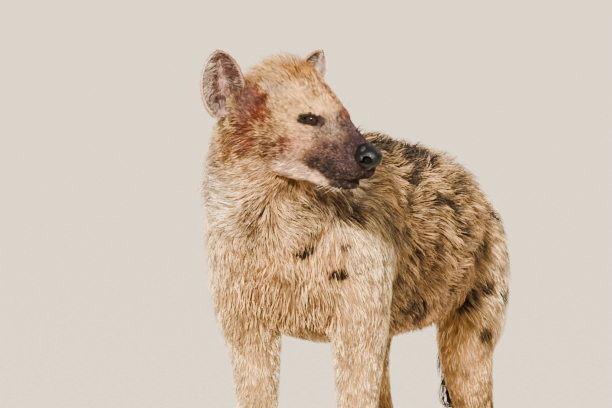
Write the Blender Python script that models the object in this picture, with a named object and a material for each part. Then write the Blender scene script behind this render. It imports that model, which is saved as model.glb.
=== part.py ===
"""Life-size spotted hyena standing with its head turned to its left, as a still museum model.

Metres, +X towards the chest, +Y to the animal's left, +Z up. The flesh is lofted through named
stations, joined and smoothed as one body, given its locks of long hair, and then parted by thin cuts.
"""

import math
import random

import bmesh
import bpy
import numpy as np
from mathutils import Matrix, Vector
from mathutils.bvhtree import BVHTree

GAP = 0.0003  # between nodes that touch

# How finely the shapes are joined, and the triangles that stay before the locks and cuts
BODY_VOXEL = 0.007
PAW_VOXEL = 0.0035
HEAD_VOXEL = 0.0025
NOSE_VOXEL = 0.0016
BODY_TRIANGLES = 1550
PAW_TRIANGLES = 760
HEAD_TRIANGLES = 1500
NOSE_TRIANGLES = 220
CHANCE = random.Random(7)  # scatters the locks

# The head turns about the neck. Its own frame starts between the eyes: x to the nose, y left, z up.
HEAD_AT = Vector((0.6185, 0.145, 0.846))
HEAD_YAW = math.radians(66)
HEAD_PITCH = math.radians(13)
HEAD = (
    Matrix.Translation(HEAD_AT)
    @ Matrix.Rotation(HEAD_YAW, 4, "Z")
    @ Matrix.Rotation(HEAD_PITCH, 4, "Y")
)

# The long coat of the trunk and neck. Its core reaches half way to the tips, and the locks do the rest.
COAT = 0.044
CORE = COAT / 2

# Trunk: x, underside, topline, half width, all out to the tips of the coat
TORSO = [
    (0.458, 0.550, 0.640, 0.065),
    (0.430, 0.505, 0.716, 0.138),
    (0.365, 0.462, 0.778, 0.172),
    (0.275, 0.440, 0.810, 0.165),
    (0.150, 0.428, 0.806, 0.160),
    (0.010, 0.426, 0.792, 0.163),
    (-0.125, 0.434, 0.778, 0.160),
    (-0.245, 0.458, 0.762, 0.150),
    (-0.345, 0.500, 0.730, 0.142),
    (-0.425, 0.530, 0.672, 0.108),
    (-0.462, 0.562, 0.618, 0.048),
]

# Neck: centre, half width across, half depth from nape to throat, out to the tips as well
NECK = [
    ((0.240, 0.000, 0.650), 0.150, 0.150),
    ((0.340, -0.004, 0.678), 0.150, 0.148),
    ((0.430, -0.008, 0.712), 0.140, 0.138),
    ((0.495, -0.006, 0.754), 0.116, 0.120),
    ((0.540, 0.002, 0.792), 0.100, 0.106),
    ((0.568, 0.026, 0.818), 0.092, 0.094),
    ((0.586, 0.068, 0.832), 0.078, 0.082),
]

# Legs of the left side: centre, half width across, half depth fore and aft
FORELEG = [
    ((0.300, 0.080, 0.700), 0.045, 0.078),
    ((0.335, 0.094, 0.610), 0.056, 0.088),
    ((0.332, 0.100, 0.525), 0.053, 0.076),
    ((0.305, 0.094, 0.445), 0.044, 0.058),
    ((0.305, 0.089, 0.340), 0.036, 0.042),
    ((0.311, 0.087, 0.230), 0.030, 0.032),
    ((0.316, 0.086, 0.150), 0.031, 0.032),
    ((0.323, 0.086, 0.090), 0.029, 0.029),
    ((0.336, 0.086, 0.040), 0.032, 0.033),
]
HINDLEG = [
    ((-0.335, 0.070, 0.640), 0.050, 0.092),
    ((-0.320, 0.088, 0.560), 0.060, 0.112),
    ((-0.292, 0.098, 0.470), 0.057, 0.098),
    ((-0.278, 0.097, 0.395), 0.046, 0.068),
    ((-0.322, 0.095, 0.310), 0.036, 0.050),
    ((-0.383, 0.092, 0.235), 0.029, 0.037),
    ((-0.410, 0.090, 0.185), 0.026, 0.033),
    ((-0.406, 0.089, 0.120), 0.024, 0.025),
    ((-0.390, 0.088, 0.045), 0.029, 0.029),
]
FORE_PAW_AT = Vector((0.345, 0.086, 0.0))
HIND_PAW_AT = Vector((-0.378, 0.088, 0.0))
FORE_PAW_SIZE = 1.0
HIND_PAW_SIZE = 0.86

# Tail: centre and radius, the brush included
TAIL = [
    ((-0.420, 0.0, 0.625), 0.034),
    ((-0.462, 0.0, 0.595), 0.032),
    ((-0.490, 0.0, 0.545), 0.028),
    ((-0.502, 0.0, 0.480), 0.026),
    ((-0.505, 0.0, 0.415), 0.030),
    ((-0.503, 0.0, 0.350), 0.031),
    ((-0.498, 0.0, 0.290), 0.022),
    ((-0.494, 0.0, 0.255), 0.008),
]

# Head frame. Skull: x, underside, top, half width
SKULL = [
    (-0.172, -0.055, 0.012, 0.048),
    (-0.150, -0.082, 0.040, 0.068),
    (-0.115, -0.096, 0.060, 0.078),
    (-0.080, -0.098, 0.067, 0.079),
    (-0.045, -0.094, 0.058, 0.071),
    (-0.015, -0.089, 0.044, 0.056),
    (0.012, -0.087, 0.029, 0.044),
    (0.040, -0.088, 0.013, 0.037),
    (0.070, -0.090, -0.003, 0.034),
    (0.095, -0.086, -0.013, 0.030),
    (0.110, -0.077, -0.019, 0.023),
    (0.117, -0.064, -0.025, 0.013),
]
JAW = [
    (-0.105, -0.120, -0.060, 0.050),
    (-0.055, -0.118, -0.060, 0.052),
    (-0.018, -0.109, -0.065, 0.046),
    (0.026, -0.105, -0.070, 0.037),
    (0.059, -0.105, -0.075, 0.030),
    (0.080, -0.101, -0.080, 0.022),
    (0.093, -0.095, -0.082, 0.012),
]
# Muscles and bones under the skin of the head: centre on the left side, radii
HEAD_FORMS = [
    ((-0.052, 0.044, -0.052), (0.064, 0.035, 0.051)),  # cheek muscle
    ((-0.030, 0.043, -0.026), (0.056, 0.022, 0.028)),  # cheek bone
    ((0.012, 0.030, -0.050), (0.060, 0.020, 0.037)),  # cheek before it
    ((-0.090, 0.032, 0.026), (0.048, 0.030, 0.036)),  # temple
    ((-0.124, 0.060, -0.012), (0.040, 0.031, 0.050)),  # root of the ear
    ((0.046, 0.025, -0.066), (0.046, 0.016, 0.024)),  # upper lip
    ((0.084, 0.017, -0.060), (0.027, 0.016, 0.024)),  # pad of the whiskers
]
NOSE_FORMS = [
    ((0.1080, 0.0040, -0.0370), (0.0190, 0.0165, 0.0180)),  # the pad
    ((0.1095, 0.0110, -0.0420), (0.0165, 0.0105, 0.0130)),  # its wing
    ((0.1065, 0.0020, -0.0560), (0.0135, 0.0075, 0.0120)),  # the part between the lips
]

EYE_AT = Vector((0.003, 0.0445, 0.0))  # the front of the left eyeball
EYE_LOOKS = Vector((0.60, 0.79, 0.10)).normalized()
EYE_RADIUS = 0.0135
LID_HALF_LENGTH = 0.0128
LID_HALF_HEIGHT = 0.0062
LID_THICKNESS = 0.0026

NOSTRIL_AT = Vector((0.1240, 0.0105, -0.0420))
NOSTRIL_RADII = (0.009, 0.0042, 0.0056)

# The mouth: the lip line of the left side, from the corner to the front
LIP_LINE = [
    (-0.006, 0.056, -0.072),
    (0.014, 0.050, -0.081),
    (0.040, 0.042, -0.0895),
    (0.070, 0.034, -0.0935),
    (0.090, 0.022, -0.0915),
    (0.099, 0.010, -0.0890),
    (0.101, 0.000, -0.0880),
]
LIP_GROOVE = 0.0022

# A lock: share of its length, lift, share of its width
LOCK_SHAPE = [(-0.06, -0.70, 0.70), (0.22, 0.35, 1.0), (0.62, 0.72, 0.80), (1.0, 0.60, 0.06)]
LOCK_THICKNESS = 0.36
# Length, half width and rise of the locks
TRUNK_LOCK = (0.185, 0.031, COAT - CORE)
NECK_LOCK = (0.135, 0.026, 0.75 * (COAT - CORE))
THIGH_LOCK = (0.100, 0.023, 0.012)
TAIL_LOCK = (0.095, 0.015, 0.009)
CREST_LOCK = (0.034, 0.012, 0.004)
TRUNK_ROWS = 7
TRUNK_FIRST = 0.335
TRUNK_STEP = 0.108
TRUNK_TURN = 112
NECK_RINGS = (10, 7, 4)
CREST_ROWS = (-0.055, -0.073, -0.091, -0.109)
CREST_COLUMNS = (-0.024, 0.0, 0.024)
THIGH_ROWS = (0.595, 0.545, 0.495)
THIGH_TURNS = (-20, 45)
THIGH_MIDDLE = Vector((-0.30, 0.088, 0.0))
BRUSH_ROWS = (0.430, 0.385, 0.340)
BRUSH_MIDDLE = Vector((-0.503, 0.0, 0.0))
LOWEST_TIP = 0.440  # no lock reaches lower on the trunk, where the legs' cuts are
TAIL_FOOT = Vector((-0.49, 0.0, 0.54))
TAIL_CLEAR = 0.070  # nor this near the root of the tail
EAR_CLEAR = 0.055  # and none is rooted this near an ear

# Toes of a paw: place across, reach forwards of the tip's middle
TOES = [(-0.030, 0.034), (-0.0105, 0.048), (0.0105, 0.048), (0.030, 0.034)]
CLAW_LENGTH = 0.019
CLAW_RADIUS = 0.0042

EAR_HEIGHT = 0.116
EAR_THICKNESS = 0.0045
# Ear: share of its height, half width
EAR_OUTLINE = [(0.0, 0.015), (0.10, 0.025), (0.28, 0.034), (0.50, 0.038), (0.70, 0.032), (0.86, 0.020), (1.0, 0.003)]
# The right ear in the head's frame: foot of its opening, direction of its tip, direction it opens to
EAR_AT = Vector((-0.140, -0.090, -0.034))
EAR_TIP = Vector((-0.10, -0.30, 0.95)).normalized()
EAR_OPENS = Vector((0.83, -0.55, -0.08))
LEFT_EAR_TIP = Vector((-0.04, -0.42, 0.91)).normalized()
LEFT_EAR_OPENS = Vector((0.95, -0.20, -0.08))


def clear_scene():
    for found in list(bpy.data.objects):
        bpy.data.objects.remove(found)


def material(name, colour, roughness, metallic=0.0):
    made = bpy.data.materials.get(name)
    if made:
        return made
    made = bpy.data.materials.new(name)
    made.use_nodes = True
    shader = made.node_tree.nodes["Principled BSDF"]
    shader.inputs["Base Color"].default_value = (*colour, 1.0)
    shader.inputs["Roughness"].default_value = roughness
    shader.inputs["Metallic"].default_value = metallic
    return made


def catmull_rom(rows, steps):
    """The rows, each a list of numbers, with a smooth run of steps from each to the next."""
    rows = np.array(rows, float)
    padded = np.vstack([2 * rows[0] - rows[1], rows, 2 * rows[-1] - rows[-2]])
    made = []
    for a, b, c, d in zip(padded, padded[1:], padded[2:], padded[3:]):
        for t in np.arange(steps) / steps:
            made.append(
                0.5 * (2 * b + (c - a) * t + (2 * a - 5 * b + 4 * c - d) * t * t
                       + (3 * b - a - 3 * c + d) * t ** 3)
            )
    return np.array([*made, rows[-1]])


def rounded(value, power):
    return math.copysign(abs(value) ** (2 / power), value)


def loft(bm, stations, place=None, sides=24, steps=4, side=None, power=2.0):
    """Adds a closed tube through (centre, half width, half depth) to bm; more power, squarer rings."""
    rows = catmull_rom([[*centre, wide, deep] for centre, wide, deep in stations], steps)
    rings = []
    for i, row in enumerate(rows):
        along = Vector(rows[min(i + 1, len(rows) - 1)][:3]) - Vector(rows[max(i - 1, 0)][:3])
        along.normalize()
        across = side.copy() if side else Vector((0, 0, 1)).cross(along)
        across = (across - across.dot(along) * along).normalized()
        other = along.cross(across)
        centre = Vector(row[:3])
        ring = []
        for k in range(sides):
            turn = 2 * math.pi * k / sides
            out = across * (row[3] * rounded(math.cos(turn), power))
            point = centre + out + other * (row[4] * rounded(math.sin(turn), power))
            ring.append(bm.verts.new(place @ point if place else point))
        rings.append(ring)
    for low, high in zip(rings, rings[1:]):
        for k in range(sides):
            after = (k + 1) % sides
            bm.faces.new((low[k], low[after], high[after], high[k]))
    bm.faces.new(rings[0][::-1])
    bm.faces.new(rings[-1])


def trunk_stations(rows, inset=0.0):
    """Rows of x, underside, top and half width as stations of a loft, inset by some of the coat."""
    return [((x, 0.0, (low + top) / 2), wide - inset, (top - low) / 2 - inset) for x, low, top, wide in rows]


def mirrored(point):
    return Vector((point[0], -point[1], point[2]))


def ellipsoid(bm, centre, radii, place=None, detail=3):
    where = Matrix.Translation(centre) @ Matrix.Diagonal((*radii, 1.0))
    bmesh.ops.create_icosphere(bm, subdivisions=detail, radius=1.0, matrix=place @ where if place else where)


def object_of(name, bm, shader=None):
    """A new object that holds bm, with its faces turned outwards."""
    bmesh.ops.recalc_face_normals(bm, faces=bm.faces)
    mesh = bpy.data.meshes.new(name)
    bm.to_mesh(mesh)
    bm.free()
    made = bpy.data.objects.new(name, mesh)
    bpy.context.scene.collection.objects.link(made)
    if shader:
        mesh.materials.append(shader)
    return made


def applied(obj):
    """Replaces the object's mesh by what its modifiers make of it."""
    graph = bpy.context.evaluated_depsgraph_get()
    graph.update()
    mesh = bpy.data.meshes.new_from_object(obj.evaluated_get(graph))
    obj.modifiers.clear()
    old, obj.data = obj.data, mesh
    bpy.data.meshes.remove(old)
    return obj


def thinned(obj, triangles):
    """Thins the mesh to about that many triangles."""
    faces = obj.modifiers.new("triangles", "TRIANGULATE")
    faces.min_vertices = 4
    applied(obj)
    thin = obj.modifiers.new("thin", "DECIMATE")
    thin.ratio = min(1.0, triangles / len(obj.data.polygons))
    return applied(obj)


def fused(obj, voxel, smoothing, triangles):
    """Joins the overlapping closed shapes of obj into one smooth skin of about that many triangles."""
    remesh = obj.modifiers.new("join", "REMESH")
    remesh.mode = "VOXEL"
    remesh.voxel_size = voxel
    smooth = obj.modifiers.new("smooth", "SMOOTH")
    smooth.factor = 0.5
    smooth.iterations = smoothing
    applied(obj)
    return thinned(obj, triangles)


def boolean(obj, others, operation, solver="MANIFOLD"):
    """Cuts the other objects from obj, or joins them to it, and removes them."""
    if not others:
        return obj
    group = bpy.data.collections.new("group")
    bpy.context.scene.collection.children.link(group)
    for other in others:
        group.objects.link(other)
    modifier = obj.modifiers.new(operation, "BOOLEAN")
    modifier.operation = operation
    modifier.solver = solver
    modifier.operand_type = "COLLECTION"
    modifier.collection = group
    applied(obj)
    for other in others:
        bpy.data.objects.remove(other)
    bpy.data.collections.remove(group)
    return obj


def ball(name, centre, radii, place=None, detail=3):
    bm = bmesh.new()
    ellipsoid(bm, centre, radii, place, detail)
    return object_of(name, bm)


def blade(centre, normal, radius, sides=24):
    """A thin round plate, whose thickness is the gap that it leaves."""
    bm = bmesh.new()
    turn = Vector(normal).to_track_quat("Z", "Y").to_matrix().to_4x4()
    bmesh.ops.create_cone(
        bm, cap_ends=True, segments=sides, radius1=radius, radius2=radius, depth=GAP,
        matrix=Matrix.Translation(centre) @ turn,
    )
    return object_of("blade", bm)


def islands(obj):
    """The vertices of each separate closed surface of obj, as lists of face indices."""
    bm = bmesh.new()
    bm.from_mesh(obj.data)
    left = set(bm.faces)
    found = []
    while left:
        seed = left.pop()
        island, front = [seed], [seed]
        while front:
            for edge in front.pop().edges:
                for face in edge.link_faces:
                    if face in left:
                        left.remove(face)
                        island.append(face)
                        front.append(face)
        found.append([face.index for face in island])
    bm.free()
    return found


def piece_of(obj, faces, name):
    """A new object of these faces of obj."""
    wanted = set(faces)
    bm = bmesh.new()
    bm.from_mesh(obj.data)
    bmesh.ops.delete(bm, geom=[f for f in bm.faces if f.index not in wanted], context="FACES")
    mesh = bpy.data.meshes.new(name)
    bm.to_mesh(mesh)
    bm.free()
    made = bpy.data.objects.new(name, mesh)
    bpy.context.scene.collection.objects.link(made)
    return made


def parted(obj, anchors):
    """Splits obj into its separate surfaces. Each anchor names the largest one that lies about it."""
    parts = []
    for faces in islands(obj):
        corners = {v for f in faces for v in obj.data.polygons[f].vertices}
        points = np.array([obj.data.vertices[v].co for v in corners])
        parts.append((faces, points))
    large = [p for p in parts if len(p[0]) > 40]
    nodes = {}
    for name, anchor in anchors.items():
        gaps = [np.linalg.norm(points - np.array(anchor), axis=1).min() for _, points in large]
        faces, _ = large[int(np.argmin(gaps))]
        nodes[name] = piece_of(obj, faces, name)
    bpy.data.objects.remove(obj)
    return nodes


def both_sides(name, stations):
    return {
        name + "_left": stations,
        name + "_right": [(mirrored(centre), wide, deep) for centre, wide, deep in stations],
    }


def add_paw(bm, at, size):
    """A four-toed paw: the heel pad, the knuckles and the toes, set a little below the floor's level."""
    ellipsoid(bm, at + Vector((-0.006, 0, 0.023)) * size, Vector((0.036, 0.034, 0.032)) * size)
    ellipsoid(bm, at + Vector((0.016, 0, 0.034)) * size, Vector((0.034, 0.036, 0.024)) * size)
    for y, reach in TOES:
        ellipsoid(bm, at + Vector((reach - 0.016, y * 0.9, 0.022)) * size, Vector((0.026, 0.0125, 0.020)) * size)
        ellipsoid(bm, at + Vector((reach, y, 0.0105)) * size, Vector((0.016, 0.0115, 0.0155)) * size)


PAWS = {
    "fore_left": (FORE_PAW_AT, FORE_PAW_SIZE),
    "fore_right": (mirrored(FORE_PAW_AT), FORE_PAW_SIZE),
    "hind_left": (HIND_PAW_AT, HIND_PAW_SIZE),
    "hind_right": (mirrored(HIND_PAW_AT), HIND_PAW_SIZE),
}


def neck_core():
    return [(centre, wide - CORE, deep - CORE) for centre, wide, deep in NECK]


def add_body(bm):
    """The trunk, neck, tail and legs, as overlapping closed lofts."""
    loft(bm, trunk_stations(TORSO, CORE), side=Vector((0, 1, 0)), sides=32, power=2.3)
    loft(bm, neck_core(), sides=32)
    loft(bm, [(centre, radius, radius) for centre, radius in TAIL], side=Vector((0, 1, 0)), sides=16)
    for stations in [*both_sides("fore", FORELEG).values(), *both_sides("hind", HINDLEG).values()]:
        loft(bm, stations, side=Vector((0, 1, 0)))
    for at, size in PAWS.values():
        add_paw(bm, at, size)


def add_head(bm):
    loft(bm, trunk_stations(SKULL), HEAD, side=Vector((0, 1, 0)))
    loft(bm, trunk_stations(JAW), HEAD, side=Vector((0, 1, 0)))
    for centre, radii in HEAD_FORMS:
        ellipsoid(bm, Vector(centre), radii, HEAD)
        ellipsoid(bm, mirrored(centre), radii, HEAD)


def nose():
    bm = bmesh.new()
    for centre, radii in NOSE_FORMS:
        ellipsoid(bm, Vector(centre), radii, HEAD)
        ellipsoid(bm, mirrored(centre), radii, HEAD)
    return fused(object_of("nose", bm), NOSE_VOXEL, 2, NOSE_TRIANGLES)


def ear(sign):
    """A pointed oval cup: a curved sheet, rolled into a tube at its root, with a real thickness."""
    tip, opens = (EAR_TIP, EAR_OPENS) if sign < 0 else (LEFT_EAR_TIP, LEFT_EAR_OPENS)
    front = (opens - opens.dot(tip) * tip).normalized()
    across = tip.cross(front)
    outline = catmull_rom(EAR_OUTLINE, 2)
    columns = 8
    bm = bmesh.new()
    grid = []
    for share, half in outline:
        bend = math.radians(118 - 78 * min(1.0, share * 1.4))
        radius = half / max(math.sin(min(bend, math.pi / 2)), 0.2)
        row = []
        for j in range(columns):
            turn = bend * (2 * j / (columns - 1) - 1)
            point = (
                EAR_AT + tip * (EAR_HEIGHT * share)
                + across * (radius * math.sin(turn))
                - front * (radius * (math.cos(turn) - math.cos(bend)) + 0.006 * share)
            )
            point.y *= -sign
            row.append(bm.verts.new(HEAD @ point))
        grid.append(row)
    for low, high in zip(grid, grid[1:]):
        for j in range(columns - 1):
            bm.faces.new((low[j], low[j + 1], high[j + 1], high[j]))
    made = object_of("ear", bm)
    wall = made.modifiers.new("wall", "SOLIDIFY")
    wall.thickness = EAR_THICKNESS
    wall.offset = 0.0
    return applied(made)


def almond(length, height, share):
    """A point of the opening between the lids, share of the way round it."""
    turn = 2 * math.pi * share
    across = math.cos(turn)
    lift = math.sin(turn)
    return length * across, height * lift * (1 - 0.25 * across * across)


def eye_frame(sign):
    """The frame at an eyeball's centre: z out of the eye, x along the lids towards the nose."""
    looks = Vector((EYE_LOOKS.x, EYE_LOOKS.y * sign, EYE_LOOKS.z))
    at = Vector((EYE_AT.x, EYE_AT.y * sign, EYE_AT.z)) - looks * EYE_RADIUS
    along = Vector((1.0, 0.0, -0.30))
    along = (along - along.dot(looks) * looks).normalized()
    up = looks.cross(along)
    if up.z < 0:
        up = -up
    turn = Matrix((along, up, looks)).transposed().to_4x4()
    return HEAD @ Matrix.Translation(at) @ turn


def lid_ring(frame):
    """A rim of even thickness that follows the opening over the eyeball."""
    count, sides = 22, 5
    bm = bmesh.new()
    rings = []
    reach = EYE_RADIUS + LID_THICKNESS * 0.45
    for i in range(count):
        x, y = almond(LID_HALF_LENGTH, LID_HALF_HEIGHT + LID_THICKNESS * 0.6, i / count)
        x2, y2 = almond(LID_HALF_LENGTH, LID_HALF_HEIGHT + LID_THICKNESS * 0.6, (i + 0.5) / count)
        here = Vector((x, y, math.sqrt(max(0.0, reach ** 2 - x * x - y * y))))
        there = Vector((x2, y2, math.sqrt(max(0.0, reach ** 2 - x2 * x2 - y2 * y2))))
        along = (there - here).normalized()
        out = (here - here.dot(along) * along).normalized()
        flat = along.cross(out)
        ring = []
        for k in range(sides):
            turn = 2 * math.pi * k / sides
            point = here + (out * math.cos(turn) + flat * math.sin(turn)) * LID_THICKNESS
            ring.append(bm.verts.new(frame @ point))
        rings.append(ring)
    for low, high in zip(rings, rings[1:] + rings[:1]):
        for k in range(sides):
            after = (k + 1) % sides
            bm.faces.new((low[k], low[after], high[after], high[k]))
    return object_of("lids", bm)


def lid_opening(frame):
    """The prism that opens the head over the eyeball, between the lids."""
    count = 22
    bm = bmesh.new()
    ring = []
    for i in range(count):
        x, y = almond(LID_HALF_LENGTH, LID_HALF_HEIGHT, i / count)
        ring.append(bm.verts.new(frame @ Vector((x, y, 0.0))))
    floor = bm.faces.new(ring)
    made = bmesh.ops.extrude_face_region(bm, geom=[floor])["geom"]
    out = (frame.to_3x3() @ Vector((0, 0, 1))) * (EYE_RADIUS + 0.02)
    bmesh.ops.translate(bm, vec=out, verts=[v for v in made if isinstance(v, bmesh.types.BMVert)])
    return object_of("opening", bm)


def surface_of(obj):
    bm = bmesh.new()
    bm.from_mesh(obj.data)
    tree = BVHTree.FromBMesh(bm)
    bm.free()
    return tree


def lock(tree, at, flow, length, width, rise, stands=False):
    """A flat tapered lock rooted under a point of the surface, which rises and then lies along it, or stands."""
    _, out, _, _ = tree.find_nearest(at)
    side = out.cross(flow).normalized()
    flow = (flow + side * CHANCE.uniform(-0.22, 0.22)).normalized()
    rise *= CHANCE.uniform(0.80, 1.10)
    length *= CHANCE.uniform(0.85, 1.20)
    stations = []
    foot = at
    normal = out
    before = 0.0
    for share, lift, wide in LOCK_SHAPE:
        step = (flow - flow.dot(normal) * normal).normalized()
        if stands:
            step = (step + normal * (1.3 - 1.1 * share)).normalized()
        foot = foot + step * (length * (share - before))
        if not stands:
            foot, normal, _, _ = tree.find_nearest(foot)
        before = share
        stations.append((foot + normal * (rise * lift), width * wide, LOCK_THICKNESS * width * max(wide, 0.2)))
    bm = bmesh.new()
    loft(bm, stations, side=side, sides=4, steps=1)
    return object_of("lock", bm)


def locks_from(tree, rays, length, width, rise, free=True):
    """A lock where each ray from outside (start, direction, flow) meets the surface."""
    made = []
    for start, inwards, flow in rays:
        at, _, _, _ = tree.ray_cast(start, inwards, 0.6)
        if at is not None and (free or clear_of_cuts(at, at + flow.normalized() * length)):
            made.append(lock(tree, at, flow, length, width, rise))
    return made


def clear_of_cuts(root, tip):
    """Whether a lock may lie there: above the legs' cuts and away from the tail's and the ears."""
    ears = [HEAD @ EAR_AT, HEAD @ mirrored(EAR_AT)]
    near_ear = min((root - ear).length for ear in ears) < EAR_CLEAR
    return tip.z > LOWEST_TIP and (tip - TAIL_FOOT).length > TAIL_CLEAR and not near_ear


def around(count, half_turn):
    """Evenly spread angles from the top of the back down both sides, with a little chance in each."""
    step = 2 * half_turn / (count - 1)
    return [math.radians(-half_turn + step * k + CHANCE.uniform(-0.2, 0.2) * step) for k in range(count)]


def trunk_locks(tree):
    """Rows round the trunk that lie back and down over each other, with every second row set between."""
    rows = sorted(TORSO)
    rays = []
    for row in range(TRUNK_ROWS):
        x = TRUNK_FIRST - row * TRUNK_STEP
        middle = np.interp(x, [r[0] for r in rows], [(r[1] + r[2]) / 2 for r in rows])
        centre = Vector((x, 0.0, middle))
        for angle in around(6 + row % 2, TRUNK_TURN):
            out = Vector((CHANCE.uniform(-0.05, 0.05), math.sin(angle), math.cos(angle)))
            flow = Vector((-1.0, 0.15 * math.sin(angle), -0.40 * abs(math.sin(angle))))
            rays.append((centre + out * 0.4, -out, flow))
    return locks_from(tree, rays, *TRUNK_LOCK, free=False)


def neck_locks(tree):
    """Rings round the neck, lying back from the head and down to the chest."""
    rows = catmull_rom([centre for centre, _, _ in NECK], 2)
    rays = []
    for ring, place in enumerate(NECK_RINGS):
        centre = Vector(rows[place])
        along = (Vector(rows[place + 1]) - Vector(rows[place - 1])).normalized()
        side = Vector((0, 0, 1)).cross(along).normalized()
        up = along.cross(side)
        for angle in around(7 + ring % 2, 165):
            out = side * math.sin(angle) + up * math.cos(angle)
            flow = -along - Vector((0, 0, 0.6 * abs(math.sin(angle)) + 0.05))
            rays.append((centre + out * 0.35, -out, flow))
    return locks_from(tree, rays, *NECK_LOCK, free=False)


def thigh_locks(tree):
    """Down the back of each thigh."""
    rays = []
    for sign in (-1, 1):
        for z in THIGH_ROWS:
            for turn in THIGH_TURNS:
                angle = math.radians(turn)
                out = Vector((-math.cos(angle), sign * math.sin(angle), 0.0))
                middle = Vector((THIGH_MIDDLE.x, sign * THIGH_MIDDLE.y, z))
                rays.append((middle + out * 0.35, -out, Vector((-0.25, 0.0, -1.0))))
    return locks_from(tree, rays, *THIGH_LOCK, free=False)


def tail_locks(tree):
    """The brush of the tail, three locks to a row."""
    rays = []
    for z in BRUSH_ROWS:
        for k in range(3):
            angle = 2 * math.pi * (k + CHANCE.random()) / 3
            out = Vector((math.cos(angle), math.sin(angle), 0.0))
            middle = Vector((BRUSH_MIDDLE.x, 0.0, z))
            rays.append((middle + out * 0.2, -out, Vector((0.0, 0.0, -1.0))))
    return locks_from(tree, rays, *TAIL_LOCK)


def crown_locks(tree):
    """The crest of hair that stands between the ears, leaning back."""
    made = []
    turn = HEAD.to_3x3()
    for x in CREST_ROWS:
        for y in CREST_COLUMNS:
            place = Vector((x + CHANCE.uniform(-0.007, 0.007), y + CHANCE.uniform(-0.005, 0.005), 0.3))
            at, _, _, _ = tree.ray_cast(HEAD @ place, turn @ Vector((0, 0, -1)), 0.5)
            made.append(lock(tree, at, turn @ Vector((-1.0, y * 6, 0.0)), *CREST_LOCK, stands=True))
    return made


def lip_groove(head):
    """A tube along the lip line, laid on the head's own surface, that cuts the line of the mouth."""
    tree = surface_of(head)
    left = [Vector(p) for p in LIP_LINE]
    line = left + [mirrored(p) for p in reversed(left[:-1])]
    rows = catmull_rom(line, 3)
    stations = []
    for i, row in enumerate(rows):
        at, _, _, _ = tree.find_nearest(HEAD @ Vector(row))
        share = min(i, len(rows) - 1 - i) / 4
        radius = LIP_GROOVE * min(1.0, 0.45 + share * 0.55)
        stations.append((at, radius, radius))
    bm = bmesh.new()
    loft(bm, stations, sides=6, steps=1)
    return object_of("groove", bm)


def claw(bm, at, size, extra=0.0):
    """A blunt curved claw, grown by extra where it is cut from the toe."""
    length = CLAW_LENGTH * size + extra
    radius = CLAW_RADIUS * size
    stations = [
        (at + Vector((-0.30 * length, 0, 0.0010)), radius * 0.8 + extra, radius * 0.9 + extra),
        (at, radius + extra, radius * 1.15 + extra),
        (at + Vector((0.40 * length, 0, -0.0012)), radius * 0.85 + extra, radius * 0.95 + extra),
        (at + Vector((0.72 * length, 0, -0.0050)), radius * 0.35 + extra, radius * 0.40 + extra),
    ]
    loft(bm, stations, sides=6, steps=1, side=Vector((0, 1, 0)))


def claw_places():
    """The root of each claw, by name."""
    places = {}
    for paw, (at, size) in PAWS.items():
        for number, (y, reach) in enumerate(TOES, 1):
            root = at + Vector((reach + 0.010, y, 0.0165)) * size
            places[f"claw_{paw}_{number}"] = (root, size)
    return places


# The cuts that part the body: centre, normal, radius of the round blade
CUTS = {
    "neck_foot": (Vector((0.385, 0.0, 0.715)), Vector((0.80, 0.0, 0.42)), 0.24),
    "knee_left": (Vector((-0.300, 0.115, 0.352)), Vector((0.35, 0.0, 0.94)), 0.085),
    "knee_right": (Vector((-0.300, -0.115, 0.352)), Vector((0.35, 0.0, 0.94)), 0.085),
    "elbow_left": (Vector((0.301, 0.107, 0.395)), Vector((0.0, 0.0, 1.0)), 0.072),
    "elbow_right": (Vector((0.301, -0.107, 0.395)), Vector((0.0, 0.0, 1.0)), 0.072),
    "tail_root": (Vector((-0.487, 0.0, 0.553)), Vector((-0.45, 0.0, -0.89)), 0.046),
    "tail_brush": (Vector((-0.504, 0.0, 0.445)), Vector((0.0, 0.0, 1.0)), 0.060),
}
# The domes that part the legs from the trunk: centre of the left one's rim, radii
DOMES = {
    "fore": (Vector((0.302, 0.112, 0.418)), (0.098, 0.082, 0.125)),
    "hind": (Vector((-0.305, 0.112, 0.452)), (0.128, 0.092, 0.130)),
}
WRIST = 0.118  # height of the cut between a leg and its paw
HEAD_CUT = (Vector((0.552, 0.012, 0.800)), Vector((0.62, 0.53, 0.57)))

ANCHORS = {
    "torso": (0.0, 0.155, 0.60),
    "neck": (0.49, -0.10, 0.745),
    "foreleg_left": (0.325, 0.155, 0.46),
    "foreleg_right": (0.325, -0.155, 0.46),
    "forearm_left": (0.305, 0.14, 0.26),
    "forearm_right": (0.305, -0.14, 0.26),
    "thigh_left": (-0.285, 0.16, 0.42),
    "thigh_right": (-0.285, -0.16, 0.42),
    "shank_left": (-0.385, 0.14, 0.24),
    "shank_right": (-0.385, -0.14, 0.24),
    "tail_root": (-0.50, 0.0, 0.50),
    "tail_brush": (-0.505, 0.0, 0.35),
}

FUR = material("coat", (0.50, 0.36, 0.22), 0.85)
DARK = material("dark_coat", (0.07, 0.05, 0.04), 0.8)
EAR_SKIN = material("ear_skin", (0.26, 0.19, 0.17), 0.8)
NOSE_SKIN = material("nose", (0.015, 0.014, 0.016), 0.35)
EYE = material("eye", (0.05, 0.02, 0.01), 0.08)
CLAW = material("claw", (0.06, 0.05, 0.045), 0.45)


def beyond(centre, normal, radius=0.30, reach=0.60):
    """A wide cylinder on the far side of a plane, which also takes half of the gap."""
    normal = Vector(normal).normalized()
    turn = normal.to_track_quat("Z", "Y").to_matrix().to_4x4()
    bm = bmesh.new()
    bmesh.ops.create_cone(
        bm, cap_ends=True, segments=32, radius1=radius, radius2=radius, depth=reach,
        matrix=Matrix.Translation(centre + normal * (reach / 2 - GAP / 2)) @ turn,
    )
    return object_of("beyond", bm)


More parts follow.
